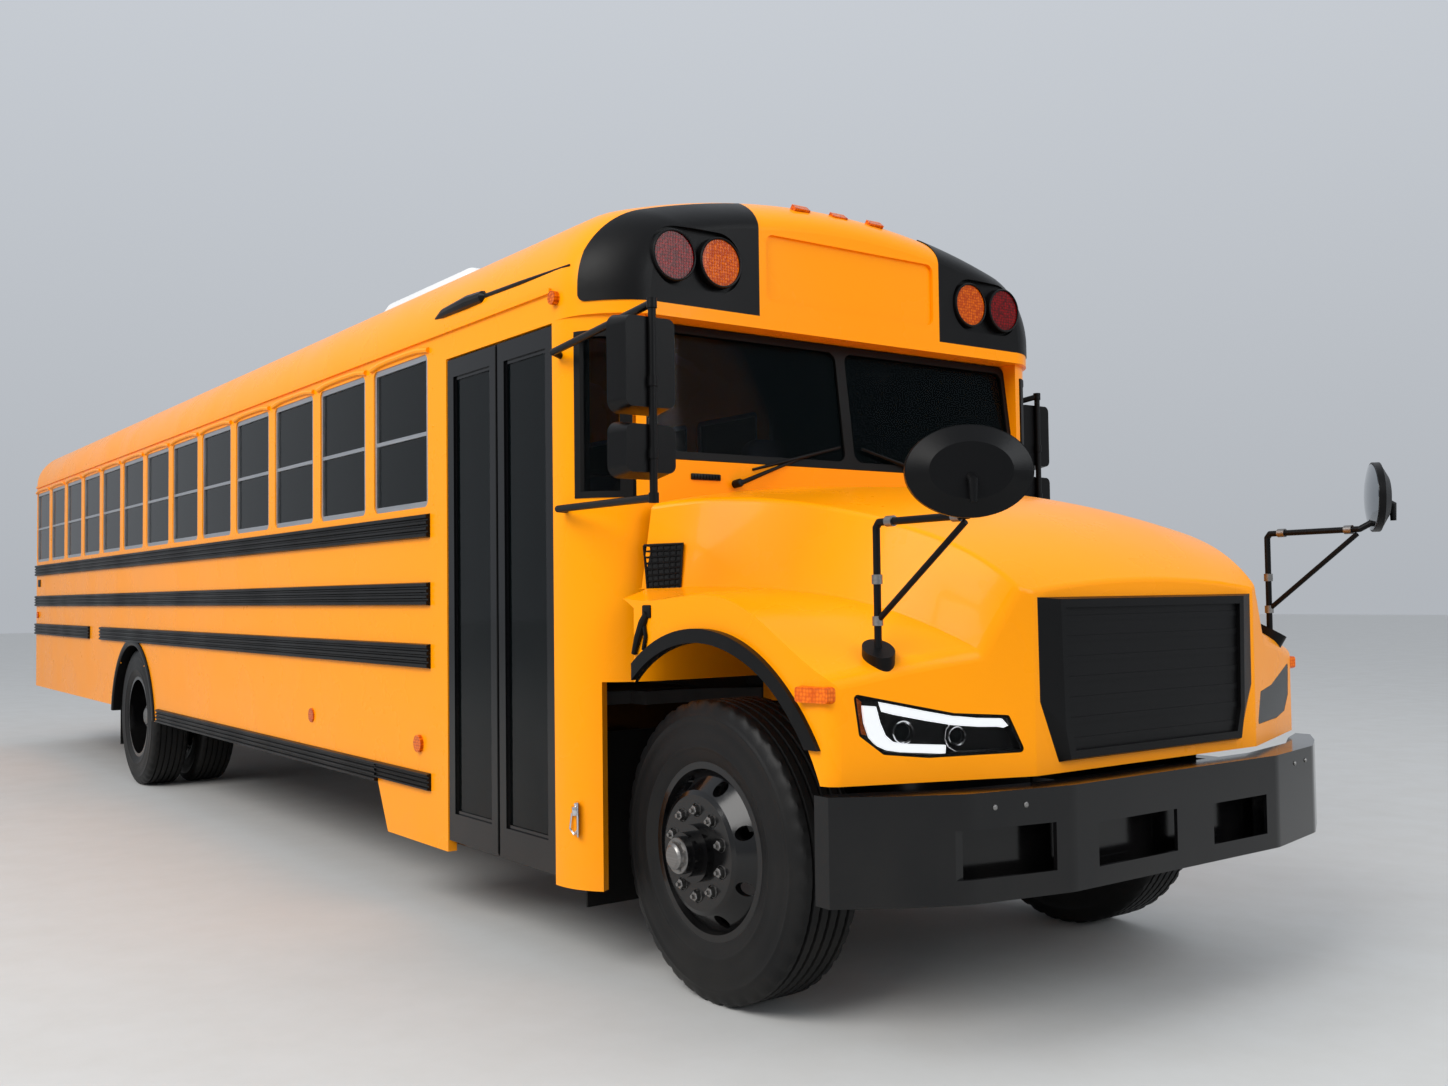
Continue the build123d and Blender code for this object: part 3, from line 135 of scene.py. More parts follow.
# %% [markdown]
# Paint only looks like paint when it has something to mirror. Two large soft panels
# do that: a strong one high on the right of the bus and a weak one ahead of it. The
# sky fills the shade. It is dimmer at eye level than overhead, because glass and black
# paint mirror that lower band and would turn grey under an even white sky.

# %% Sky and lights
scene.view_settings.view_transform = "Standard"
eye_level_glow, overhead_glow, overhead_from = 0.5, 0.8, 0.8


def soft_panel(name, place, target, size, watts, colour):
    """One rectangular area light that looks at a point."""
    data = bpy.data.lights.new(name, "AREA")
    data.shape, data.size, data.size_y = "RECTANGLE", size[0], size[1]
    data.energy, data.color = watts, colour
    lamp = bpy.data.objects.new(name, data)
    lamp.location = place
    lamp.rotation_euler = (Vector(target) - Vector(place)).to_track_quat("-Z", "Y").to_euler()
    scene.collection.objects.link(lamp)


soft_panel("key_panel", place=(5, -13, 11), target=(0, 0, 1), size=(14, 8), watts=2200, colour=(1, 0.98, 0.95))
soft_panel("front_panel", place=(15, 3, 7), target=(5, 0, 1.2), size=(7, 6), watts=500, colour=(0.95, 0.98, 1))
world = bpy.data.worlds.new("studio_sky")
scene.world = world
world.use_nodes = True
sky = world.node_tree
background = sky.nodes["Background"].inputs
rise = axes_of(sky, add_node(sky, "ShaderNodeTexCoord").outputs["Generated"])["Z"]
feed(sky, background["Strength"], ramp(sky, rise, 0.0, overhead_from, eye_level_glow, overhead_glow))
feed(sky, background["Color"], (0.88, 0.93, 1.0, 1))

# %% [markdown]
# An effect that several finishes share is made once as a node group, which is like a
# small machine with named inputs and outputs. One helper makes an empty group, and
# another puts a group to work in a material. A colour input starts as plain grey.

# %% Helpers for node groups
NUMBER, TINT, grey = "NodeSocketFloat", "NodeSocketColor", (0.5, 0.5, 0.5, 1)


def new_group(name, inputs, outputs):
    """A shader node group, and the sockets at its two ends."""
    group = bpy.data.node_groups.new(name, "ShaderNodeTree")
    for title, kind, value in inputs:
        group.interface.new_socket(title, in_out="INPUT", socket_type=kind).default_value = value
    for title, kind in outputs:
        group.interface.new_socket(title, in_out="OUTPUT", socket_type=kind)
    return group, group.nodes.new("NodeGroupInput").outputs, group.nodes.new("NodeGroupOutput").inputs


def group_node(tree, group, **values):
    """The outputs of a node that stands for a group, given its input values."""
    node = add_node(tree, "ShaderNodeGroup", node_tree=group)
    for key, value in values.items():
        node.inputs[key.replace("_", " ").title()].default_value = value
    return node.outputs


print("helpers for groups ready")

# %% [markdown]
# Anything that stands on a road gathers a film of dust, thickest near the ground and
# in patches. This group mixes a dust colour into a finish by height and by noise. It
# also gives its mask, so that dusty places can be duller too.

# %% Road dust group
road_dust, dust_in, dust_out = new_group(
    "road_dust",
    [("Colour", TINT, grey), ("Dust", TINT, grey), ("Amount", NUMBER, 0.3), ("Reach", NUMBER, 1.2)],
    [("Colour", TINT), ("Mask", NUMBER)])
height = axes_of(road_dust, object_point(road_dust))["Z"]
fade = ramp(road_dust, height, from_max=dust_in["Reach"], to_min=1.0, to_max=0.0)
patches = ramp(road_dust, noise(road_dust, 3.5, 6.0, 0.62), from_min=0.35, from_max=0.7)
mask = maths(road_dust, "MULTIPLY", maths(road_dust, "MULTIPLY", fade, patches), dust_in["Amount"])
feed(road_dust, dust_out["Colour"], mix_colours(road_dust, mask, dust_in["Colour"], dust_in["Dust"]))
feed(road_dust, dust_out["Mask"], mask)
print("group", road_dust.name, len(road_dust.nodes), "nodes")

# %% [markdown]
# No real surface is perfectly even. Sprayed paint has a faint orange peel, moulded
# plastic has a pebble grain, rubber has small pores. All three are noise at different
# sizes, so one group gives a fine height for bump and a slow patch value for gloss.

# %% Surface grain group
surface_grain, grain_in, grain_out = new_group(
    "surface_grain", [("Grain Size", NUMBER, 200.0), ("Patch Size", NUMBER, 1.5), ("Dull", NUMBER, 0.4),
                      ("Shiny", NUMBER, 0.3)],
    [("Height", NUMBER), ("Roughness", NUMBER)])
wear = noise(surface_grain, grain_in["Patch Size"], 5.0)
feed(surface_grain, grain_out["Height"], noise(surface_grain, grain_in["Grain Size"], 3.0))
feed(surface_grain, grain_out["Roughness"],
     ramp(surface_grain, wear, 0.32, 0.68, grain_in["Shiny"], grain_in["Dull"]))
print("group", surface_grain.name, len(surface_grain.nodes), "nodes")

# %% [markdown]
# Drawn aluminium and turned steel show fine lines along one direction. Noise that is
# stretched by a Mapping node gives them: large scale across the lines, small along.

# %% Drawn metal group
drawn_metal, drawn_in, drawn_out = new_group(
    "drawn_metal", [("Pale", TINT, grey), ("Dark", TINT, grey)],
    [("Colour", TINT), ("Height", NUMBER)])
stretch = add_node(drawn_metal, "ShaderNodeMapping",
                   {"Vector": object_point(drawn_metal), "Scale": (3, 160, 160)})
lines = noise(drawn_metal, 1.0, 4.0, point=stretch.outputs["Vector"])
feed(drawn_metal, drawn_out["Colour"], mix_colours(drawn_metal, lines, drawn_in["Dark"], drawn_in["Pale"]))
feed(drawn_metal, drawn_out["Height"], lines)
print("group", drawn_metal.name, len(drawn_metal.nodes), "nodes")

# %% [markdown]
# Most finishes here are a base colour under dust, a gloss that varies in patches and
# a fine grain. One function wires the two groups to a Principled shader. What is the
# same all over, such as metal or clear coat, is set straight on the shader. A finish
# that only dresses a solid needs no variable, because its name is enough to find it.

# %% Painted, moulded and rubber finishes


def new_look(name, **values):
    """A new material, its node tree and its shader's inputs, some with constants. IOR keeps its capitals."""
    material = bpy.data.materials.new(f"{name}_look")
    material.use_nodes = True
    shader = material.node_tree.nodes["Principled BSDF"].inputs
    for key, value in values.items():
        shader[key.replace("_", " ").title().replace("Ior", "IOR")].default_value = value
    return material, material.node_tree, shader


def wire_skin(tree, shader, colour, roughness, height, strength, distance=0.001):
    """Feeds a shader its colour and roughness, and a height as bump."""
    relief = add_node(tree, "ShaderNodeBump", {"Height": height, "Strength": strength, "Distance": distance})
    feed(tree, shader["Base Color"], colour)
    feed(tree, shader["Roughness"], roughness)
    feed(tree, shader["Normal"], relief.outputs["Normal"])


def dusty_finish(name, colour, gloss, grain, bump, dust=0.3, reach=1.2, **shader_values):
    """A finish with dust, uneven gloss and grain. gloss is the (shiny, dull) roughness pair."""
    material, tree, shader = new_look(name, **shader_values)
    film = group_node(tree, road_dust, colour=(*colour, 1), dust=(0.33, 0.29, 0.23, 1), amount=dust, reach=reach)
    skin = group_node(tree, surface_grain, grain_size=grain, patch_size=1.7, shiny=gloss[0], dull=gloss[1])
    duller = maths(tree, "ADD", skin["Roughness"], film["Mask"])
    wire_skin(tree, shader, film["Colour"], duller, skin["Height"], bump)
    return material


yellow_paint = dusty_finish("yellow_paint", (1.0, 0.325, 0.0005), (0.22, 0.34), 160, 0.04, 0.10, 0.9,
                            specular_ior_level=0.12, coat_weight=0.06, coat_roughness=0.04)
dusty_finish("black_paint", (0.0025, 0.0025, 0.003), (0.08, 0.18), 160, 0.04, 0.03, 1.0, specular_ior_level=0.3)
black_plastic = dusty_finish("black_plastic", (0.003, 0.003, 0.0033), (0.3, 0.45), 900, 0.2, 0.015,
                             specular_ior_level=0.14)
trim_rubber = dusty_finish("trim_rubber", (0.0035, 0.0035, 0.0035), (0.45, 0.65), 500, 0.3, 0.02,
                           specular_ior_level=0.15)
tyre_rubber = dusty_finish("tyre", (0.0055, 0.0055, 0.0058), (0.4, 0.58), 380, 0.35, 0.03, 1.1,
                           specular_ior_level=0.2)
dusty_finish("wheel_black", (0.002, 0.002, 0.0025), (0.1, 0.22), 220, 0.05, 0.02, 1.0, specular_ior_level=0.4)
dusty_finish("engine_grey", (0.035, 0.035, 0.036), (0.5, 0.75), 120, 0.4, 0.6, 1.4)
dusty_finish("unit_white", (0.76, 0.77, 0.77), (0.3, 0.45), 400, 0.1, 0.1, 3.4)
dash_plastic = dusty_finish("dash_plastic", (0.035, 0.036, 0.038), (0.5, 0.65), 1400, 0.3, 0.05, 2.5)
dusty_finish("floor_rubber", (0.028, 0.028, 0.03), (0.6, 0.8), 260, 0.5, 0.35, 1.5)
dusty_finish("stop_red", (0.55, 0.008, 0.01), (0.25, 0.4), 600, 0.1, 0.2, 2.0, coat_weight=0.4)
stop_white = dusty_finish("stop_white", (0.8, 0.8, 0.78), (0.3, 0.45), 600, 0.1, 0.2, 2.0)
seat_vinyl = dusty_finish("seat_vinyl", (0.012, 0.022, 0.055), (0.36, 0.5), 700, 0.45, 0.05, 2.2,
                          sheen_weight=0.1)
print("finishes", len(bpy.data.materials))

# %% [markdown]
# The hood is yellow outside and black inside its wheel arches. It is one solid, so a
# mask finds the inside: there the surface faces the middle of the bus, or downwards.
# A side's own sign times the normal's sideways part is negative on such faces.

# %% Hood paint, black on the inside
hood_paint = yellow_paint.copy()
hood_paint.name = "hood_paint_look"
tree = hood_paint.node_tree
hood_colour = tree.nodes["Principled BSDF"].inputs["Base Color"]
facing = axes_of(tree, add_node(tree, "ShaderNodeNewGeometry").outputs["Normal"])
spot = axes_of(tree, object_point(tree))
inward = ramp(tree, maths(tree, "MULTIPLY", facing["Y"], spot["Y"]), -0.04, -0.30)
downward = ramp(tree, facing["Z"], -0.35, -0.55)
low = ramp(tree, spot["Z"], 1.42, 1.30)
in_arch = maths(tree, "MULTIPLY", maths(tree, "MAXIMUM", inward, downward), low)
feed(tree, hood_colour, mix_colours(tree, in_arch, hood_colour.links[0].from_socket, (0.006, 0.006, 0.006, 1)))
print("hood paint ready")

# %% [markdown]
# Window frames, latches and the exhaust are bare metal. They take the drawn lines in
# colour and bump, with Metallic set to a constant 1 on the shader.

# %% Metal finishes


def metal_finish(name, pale, dark, gloss, bump=0.1):
    """Bare metal with fine lines and uneven gloss."""
    material, tree, shader = new_look(name, metallic=1.0)
    drawn = group_node(tree, drawn_metal, pale=(*pale, 1), dark=(*dark, 1))
    skin = group_node(tree, surface_grain, grain_size=90, patch_size=4, shiny=gloss[0], dull=gloss[1])
    wire_skin(tree, shader, drawn["Colour"], skin["Roughness"], drawn["Height"], bump)
    return material


metal_finish("frame_aluminium", (0.62, 0.63, 0.65), (0.42, 0.43, 0.45), (0.3, 0.45))
mirror_glass = metal_finish("mirror_glass", (0.30, 0.32, 0.34), (0.26, 0.28, 0.30), (0.03, 0.08), 0.01)
bright_chrome = metal_finish("bright_chrome", (0.75, 0.75, 0.76), (0.62, 0.62, 0.64), (0.1, 0.2), 0.03)
dull_steel = metal_finish("dull_steel", (0.33, 0.32, 0.31), (0.16, 0.155, 0.15), (0.35, 0.5))
metal_finish("exhaust_steel", (0.30, 0.25, 0.20), (0.14, 0.11, 0.09), (0.45, 0.65), 0.2)
print("metals ready")

# %% [markdown]
# The side glass is dark and the screen lets the cab show faintly. A dark shader with
# part Alpha gives that cheaply, and Fresnel raises Alpha at low angles, where real
# glass turns into a mirror. Fresnel stays in the material, next to the shader.

# %% Glass finishes
screen_starts_x, screen_ends_x = 4.30, 4.38


def glass_finish(name, colour, alpha, ahead=None):
    """Glass: alpha is how much it hides when seen straight on, and ahead the same for the screen."""
    material, tree, shader = new_look(name, ior=1.28)
    smears = group_node(tree, surface_grain, grain_size=30, patch_size=2.2, shiny=0.02, dull=0.07)
    film = group_node(tree, road_dust, colour=(*colour, 1), dust=(0.3, 0.28, 0.24, 1), amount=0.02, reach=2.0)
    if ahead:
        alpha = ramp(tree, axes_of(tree, object_point(tree))["X"], screen_starts_x, screen_ends_x, alpha, ahead)
    edge_on = add_node(tree, "ShaderNodeFresnel").outputs["Fac"]
    feed(tree, shader["Base Color"], film["Colour"])
    feed(tree, shader["Roughness"], smears["Roughness"])
    feed(tree, shader["Alpha"], ramp(tree, edge_on, 0.04, 0.5, alpha, 1.0))
    return material


glass_finish("tinted_glass", (0.001, 0.0025, 0.003), 0.68, 0.20)
screen_glass = glass_finish("screen_glass", (0.004, 0.008, 0.010), 0.42)
glass_finish("clear_lens", (0.02, 0.021, 0.022), 0.06)
print("glass ready")

# %% [markdown]
# A lamp lens is moulded with small prisms that break up the light. A Voronoi pattern
# raised by a Bump node draws them. The same pattern paints a highlight into the colour:
# every prism has a painted bright glint in its middle, fading to a deeper tint at its
# edges. One solid holds all the lamps on the body, so the place on the bus decides the
# colour: red at the rear and outside, amber elsewhere.

# %% Lens prisms group with painted glints, and lamp finishes
lens_prisms_and_glints, prism_in, prism_out = new_group(
    "lens_prisms_and_glints",
    [("Cells", NUMBER, 90.0), ("Deep", TINT, grey), ("Bright", TINT, grey)],
    [("Colour", TINT), ("Height", NUMBER)])
cells = add_node(lens_prisms_and_glints, "ShaderNodeTexVoronoi", {
    "Vector": object_point(lens_prisms_and_glints), "Scale": prism_in["Cells"], "Randomness": 0.35}).outputs["Distance"]
# Painted highlight: each prism takes the glint colour in its middle and the deep colour at its edges.
feed(lens_prisms_and_glints, prism_out["Colour"],
     mix_colours(lens_prisms_and_glints, ramp(lens_prisms_and_glints, cells, from_max=0.7), prism_in["Bright"], prism_in["Deep"]))
feed(lens_prisms_and_glints, prism_out["Height"], cells)


def lens_finish(name, bright, deep, where=None):
    """A ribbed lamp lens with a painted glint on each prism. where(tree) may give a mask that turns amber into red.
    """
    material, tree, shader = new_look(name, coat_weight=0.2, coat_roughness=0.03, specular_ior_level=0.12)
    prisms = group_node(tree, lens_prisms_and_glints, cells=85, bright=(*bright, 1), deep=(*deep, 1))
    colour = prisms["Colour"]
    if where:
        red = group_node(tree, lens_prisms_and_glints, cells=85, bright=(0.42, 0.001, 0.003, 1), deep=(0.06, 0.0005, 0.001, 1))
        colour = mix_colours(tree, where(tree), colour, red["Colour"])
    skin = group_node(tree, surface_grain, grain_size=60, patch_size=3, shiny=0.08, dull=0.16)
    wire_skin(tree, shader, colour, skin["Roughness"], prisms["Height"], 0.35, 0.002)
    return material


def red_places(tree):
    """1 where a lamp on the body is red: the outer warning lamps, and the upper pair of low rear lamps."""
    warning_row_z, outer_lamp_y, tail_lamp_z, tail_lamp_y = 2.53, 0.79, 1.45, 1.0
    x, y, z = axes_of(tree, object_point(tree))
    across = maths(tree, "ABSOLUTE", y)

    def past(value, edge):
        return maths(tree, "GREATER_THAN", value, edge)

    outer = maths(tree, "MULTIPLY", past(z, warning_row_z), past(across, outer_lamp_y))
    raised_rear = past(past(z, tail_lamp_z), past(x, 0.0))
    return maths(tree, "MAXIMUM", outer, maths(tree, "MULTIPLY", raised_rear, past(across, tail_lamp_y)))


lens_finish("lamp_lens", (1.0, 0.22, 0.001), (0.38, 0.045, 0.0005), red_places)
amber_lens = lens_finish("amber_lens", (1.0, 0.22, 0.01), (0.6, 0.08, 0.002))
red_lens = lens_finish("red_lens", (0.75, 0.008, 0.012), (0.16, 0.002, 0.006))
print("lenses ready")

# %% [markdown]
# The running light in each headlamp is a white diffuser that glows by itself. A low
# Emission Strength keeps it just at white, and the grain makes it a little uneven.

# %% White light strip
light_strip = dusty_finish("light_strip", (0.85, 0.87, 0.9), (0.3, 0.4), 300, 0.1, 0.0,
                           emission_color=(0.95, 0.98, 1, 1), emission_strength=0.9)
print("strip ready")

# %% [markdown]
# Each solid of the bus already has a material slot with a plain name, and its finish
# above is named after that slot. Giving the slot its finish dresses the solid without
# touching its shape. Only the hood has a finish of its own.

# %% Dressing the solids
for name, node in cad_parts.items():
    for place in node.material_slots:
        slot_name = place.material.name.split(".")[0]
        place.material = hood_paint if name == "hood" else bpy.data.materials[f"{slot_name}_look"]
print("dressed", len(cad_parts), "solids")

# %% [markdown]
# From here on pieces are built from points. A bmesh is a mesh that code can edit. The
# first two helpers turn a finished bmesh into an object that rides on a part of the
# bus. The others add to a bmesh: faces between two rows of points, a rounded block, a
# bent tube and a turned shape.

# %% Helpers for pieces


def make_mesh(name, net, look, smooth=True):
    """Turns a bmesh into a mesh with one finish, and its faces outwards."""
    bmesh.ops.recalc_face_normals(net, faces=net.faces)
    mesh = bpy.data.meshes.new(name)
    net.to_mesh(mesh)
    net.free()
    mesh.polygons.foreach_set("use_smooth", [smooth] * len(mesh.polygons))
    mesh.materials.append(look)
    print(name, len(mesh.polygons), "faces")
    return mesh


def make_piece(name, net, look=black_plastic, body="bus_body", smooth=True,
               stands_for=None):
    """A named piece that moves with a body. Most are black plastic on the bus itself."""
    mesh = make_mesh(name, net, look, smooth)
    if smooth:
        mesh.set_sharp_from_angle(angle=0.6)
    piece = bpy.data.objects.new(name, mesh)
    scene.collection.objects.link(piece)
    if stands_for:
        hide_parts(stands_for)
    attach(piece, body)


def bridge(net, first, second, closed=True):
    """Faces between two rows of points of the same count, which may close into rings."""
    count = len(first)
    for k in range(count if closed else count - 1):
        j = (k + 1) % count
        net.faces.new((first[k], first[j], second[j], second[k]))


def add_block(net, place, size, bevel=0.003, turn=None):
    """A block with rounded edges. turn is a 3 by 3 matrix of its own axes."""
    turn = turn or Matrix.Identity(3)
    matrix = Matrix.Translation(place) @ turn.to_4x4() @ Matrix.Diagonal((*size, 1))
    made = bmesh.ops.create_cube(net, size=1, matrix=matrix)
    edges = list(dict.fromkeys(edge for vert in made["verts"] for edge in vert.link_edges))
    bmesh.ops.bevel(net, geom=edges, offset=bevel, segments=2, affect="EDGES", profile=0.5)


def add_tube(net, points, radius, sides_round=10):
    """A round tube with closed ends. radius is one number, or one for each point."""
    points = [Vector(p) for p in points]
    radii = radius if isinstance(radius, (list, tuple)) else [radius] * len(points)
    runs = [(b - a).normalized() for a, b in zip(points, points[1:])]
    runs = [runs[0]] + [(a + b).normalized() for a, b in zip(runs, runs[1:])] + [runs[-1]]
    side, rings = runs[0].orthogonal().normalized(), []
    turns = [2 * pi * k / sides_round for k in range(sides_round)]
    for point, run, size in zip(points, runs, radii):
        side = (side - run * side.dot(run)).normalized()
        other = run.cross(side)
        rings.append([net.verts.new(point + size * (cos(t) * side + sin(t) * other)) for t in turns])
    for a, b in zip(rings, rings[1:]):
        bridge(net, a, b)
    net.faces.new(rings[0][::-1])
    net.faces.new(rings[-1])


def add_turned(net, profile, centre, axis, steps=48, pull=None, closed=False):
    """A profile of (radius, distance along the axis) turned about it. pull(step, point) trims a radius."""
    axis = Vector(axis).normalized()
    side = axis.orthogonal().normalized()
    other = axis.cross(side)
    rings = []
    for k in range(steps):
        ray = cos(2 * pi * k / steps) * side + sin(2 * pi * k / steps) * other
        radii = [max(radius - (pull(k, j) if pull else 0), 0) for j, (radius, _) in enumerate(profile)]
        rings.append([net.verts.new(Vector(centre) + axis * along + ray * radius)
                      for radius, (_, along) in zip(radii, profile)])
    for a, b in zip(rings, rings[1:] + rings[:1]):
        bridge(net, a, b, closed)
    bmesh.ops.remove_doubles(net, verts=[v for ring in rings for v in ring], dist=1e-5)


print("helpers for pieces ready")

# %% [markdown]
# A bus tyre has deep grooves round the tread, small cuts in its shoulders and raised
# rings on its wall. All of it is one profile turned about the axle. The shoulder cuts
# come from pulling some points of the profile inwards at every fourth step.

# %% Tyres with tread
half_tyre = [(0.290, 0.098), (0.292, 0.113), (0.304, 0.121), (0.318, 0.1245), (0.338, 0.1310), (0.345, 0.1325),
             (0.349, 0.1350), (0.356, 0.1352), (0.360, 0.1335), (0.390, 0.1370), (0.425, 0.1345), (0.446, 0.1312),
             (0.450, 0.1330), (0.456, 0.1325), (0.460, 0.1295), (0.470, 0.1272), (0.488, 0.1210), (0.500, 0.1140),
             (0.5075, 0.1050)]
groove_places = (0.078, 0.039, 0.0, -0.039, -0.078)
tread_radius, groove_radius, groove_lip, groove_foot = 0.508, 0.496, 0.0065, 0.0035
tread = []
for centre in groove_places:
    tread += [(tread_radius, centre + groove_lip), (groove_radius, centre + groove_foot),
              (groove_radius, centre - groove_foot), (tread_radius, centre - groove_lip)]
tyre_profile = half_tyre + tread + [(r, -a) for r, a in half_tyre[::-1]]
shoulder_points = (16, 17, 18)
tyre_steps, shoulder_depth, lip_depth = 168, 0.007, 0.0015
front_tyre_y, inner_tyre_y, outer_tyre_y = 0.898, 0.726, 1.062


def tread_cut(step, point):
    """How far a point is pulled in: shoulders at every fourth step, groove lips a little at every other."""
    from_end = len(tyre_profile) - 1 - point
    if step % 4 == 0 and (point in shoulder_points or from_end in shoulder_points):
        return shoulder_depth
    on_tread = min(point, from_end) > shoulder_points[-1]
    if step % 2 == 0 and on_tread and tyre_profile[point][0] > 0.5:
        return lip_depth
    return 0


def make_tyre(name, body, node, axle_x, centres):
    """One tyre, or a pair side by side, on the axle at a place along the bus."""
    net = bmesh.new()
    for y in centres:
        add_turned(net, tyre_profile, (axle_x, y, axle_height), (0, 1, 0), tyre_steps, tread_cut, closed=True)
    make_piece(name, net, tyre_rubber, body, stands_for=node)


for word, side in sides:
    make_tyre(f"front_tread_{word}", f"front_wheel_{word}", f"front_tyre_{word}", front_axle_x,
              [side * front_tyre_y])
    make_tyre(f"rear_tread_{word}", f"rear_wheels_{word}", f"rear_tyres_{word}", rear_axle_x,
              [side * inner_tyre_y, side * outer_tyre_y])

# %% [markdown]
# Each wheel is held by ten steel nuts on a ring, and a turned cap closes the hub. A
# nut is a six-sided turned shape with a washer below and the end of its stud on top,
# so the same helper that made the tyre makes it with only six steps.

# %% Wheel nuts and hub caps
wheel_nuts, nut_circle, nut_size = 10, 0.143, 0.0175
hub_bolts, hub_bolt_size, cap_lap = 8, 0.0065, 0.014
cap_profile = [(0, 0.024), (0.55, 0.024), (0.62, 0.019), (0.72, 0.017), (0.76, 0.004), (0.98, 0.003), (1.0, 0)]


def add_nut(net, base, axis, size):
    """A wheel nut with washer and stud end, standing on a face."""
    add_turned(net, [(0, size), (0.8 * size, size), (0.95 * size, 0.85 * size), (0.95 * size, 0)], base, axis, 6)
    add_turned(net, [(1.3 * size, 0.004), (1.35 * size, 0)], base, axis, 16)
    add_turned(net, [(0, 1.6 * size), (0.4 * size, 1.55 * size), (0.45 * size, 0.9 * size)], base, axis, 10)


def ring_of_nuts(net, centre, side, radius, count, size):
    """Nuts on a ring round the axle line."""
    for k in range(count):
        turn = 2 * pi * (k + 0.5) / count
        add_nut(net, Vector(centre) + Vector((radius * cos(turn), 0, radius * sin(turn))), (0, side, 0), size)


for word, side in sides:
    for body, axle_x, disc_y, hub_y, hub_r in ((f"front_wheel_{word}", front_axle_x, 1.058, 1.138, 0.046),
                                               (f"rear_wheels_{word}", rear_axle_x, 0.902, 1.108, 0.074)):
        net = bmesh.new()
        hub = (axle_x, side * hub_y, axle_height)
        ring_of_nuts(net, (axle_x, side * disc_y, axle_height), side, nut_circle, wheel_nuts, nut_size)
        ring_of_nuts(net, hub, side, hub_r, hub_bolts, hub_bolt_size)
        make_piece(f"{body}_nuts", net, dull_steel, body)
        net = bmesh.new()
        add_turned(net, [(r * (hub_r + cap_lap), a) for r, a in cap_profile], hub, (0, side, 0), 40)
        make_piece(f"{body}_cap", net, dull_steel, body)

# %% [markdown]
# Behind each clear lens lie a white light guide in two arms, an amber end and two
# projector lamps. They are placed by how far they lie along the lamp face, how high
# and how deep, and one function turns that into a point, so both sides share numbers.

# %% Headlamp innards
face_back, face_square = 0.3450, 0.9386
face_inner_x, face_inner_y = 5.995, 0.570


def face_out(side):
    """The direction that a headlamp's face looks in, twenty degrees outwards."""
    return Vector((face_square, side * face_back, 0))


def lamp_point(side, run, z, depth):
    """A point behind a headlamp's face: run along it from its inner end, height and depth."""
    along = Vector((-face_back, side * face_square, 0))
    return Vector((face_inner_x, side * face_inner_y, z)) + along * run - face_out(side) * depth


def add_lamp_plate(net, side, outline, front, back):
    """A flat moulding behind the lens with the given (run, z) outline in millimetres."""
    near, far = [[net.verts.new(lamp_point(side, s / 1000, z / 1000, depth)) for s, z in outline]
                 for depth in (front, back)]
    net.faces.new(near)
    net.faces.new(far[::-1])
    bridge(net, near, far)


top_guide = [(492, 1061), (445, 1049), (350, 1028), (264, 1011), (180, 1001), (104, 997), (84, 976), (100, 970),
             (122, 974), (180, 976), (264, 984), (350, 1000), (445, 1020), (482, 1030)]
low_guide = [(544, 1050), (538, 1000), (524, 958), (502, 934), (472, 920), (430, 913), (288, 902), (286, 927),
             (420, 936), (452, 944), (474, 963), (490, 1000), (502, 1046)]
amber_end = [(571, 1079), (549, 1062), (546, 1000), (534, 966), (556, 970), (565, 1010)]
bezel = [(0.027, 0), (0.034, 0.004), (0.036, 0.012), (0.034, 0.024), (0.031, 0.027), (0.027, 0.023), (0.026, 0.010)]
dome = [(0, 0.026), (0.010, 0.0245), (0.018, 0.020), (0.023, 0.013), (0.0255, 0.004)]
bright_line = ((0.268, 0.990), (0.284, 0.972), (0.288, 0.944), (0.276, 0.920), (0.252, 0.906), (0.150, 0.908))
for word, side in sides:
    net = bmesh.new()
    add_lamp_plate(net, side, top_guide, 0.012, 0.024)
    add_lamp_plate(net, side, low_guide, 0.012, 0.024)
    make_piece(f"light_guide_{word}", net, light_strip, "hood", smooth=False)
    net = bmesh.new()
    add_lamp_plate(net, side, amber_end, 0.010, 0.022)
    make_piece(f"turn_guide_{word}", net, amber_lens, "hood", smooth=False)
    bezels, eyes = bmesh.new(), bmesh.new()
    for run, z, size in ((0.414, 0.968, 1.0), (0.244, 0.950, 0.86)):
        foot = lamp_point(side, run, z, 0.046)
        add_turned(bezels, [(r * size, a) for r, a in bezel], foot, face_out(side), 40)
        add_turned(eyes, [(r * size, a) for r, a in dome], foot, face_out(side), 32)
    add_tube(bezels, [lamp_point(side, run, z, 0.016) for run, z in bright_line], 0.0022, 8)
    make_piece(f"lamp_bezels_{word}", bezels, bright_chrome, "hood")
    make_piece(f"lamp_eyes_{word}", eyes, screen_glass, "hood")

# %% [markdown]
# A black rim gasket sits round each of the four warning lamps at the front and each
# lamp at the rear. They are turned rings a little proud of the lens.

# %% Lamp rims
front_lamps_x, front_lamps_y, front_lamps_z = 4.578, (0.679, 0.892), 2.625
rear_lamps_x, rear_lamp_places = -6.170, ((1.100, 1.560), (1.100, 1.340), (0.690, 2.600), (0.890, 2.585))
rim = [(0.0885, 0), (0.0885, 0.036), (0.093, 0.037), (0.097, 0.033), (0.098, 0)]
rear_rim = [(r - 0.004, a) for r, a in rim]
net = bmesh.new()
for side in (-1, 1):
    for y in front_lamps_y:
        add_turned(net, rim, (front_lamps_x, side * y, front_lamps_z), (1, 0, 0), 48)
    for y, z in rear_lamp_places:
        add_turned(net, rear_rim, (rear_lamps_x, side * y, z), (-1, 0, 0), 48)
make_piece("lamp_rims", net)

# %% [markdown]
# Over every side window the roof skin is pressed into a small curved drip brow, which
# one bent tube stands for. A column of rivets holds the skin to the post ahead of each
# window. Each side has one piece for its brows and one for its rivets.

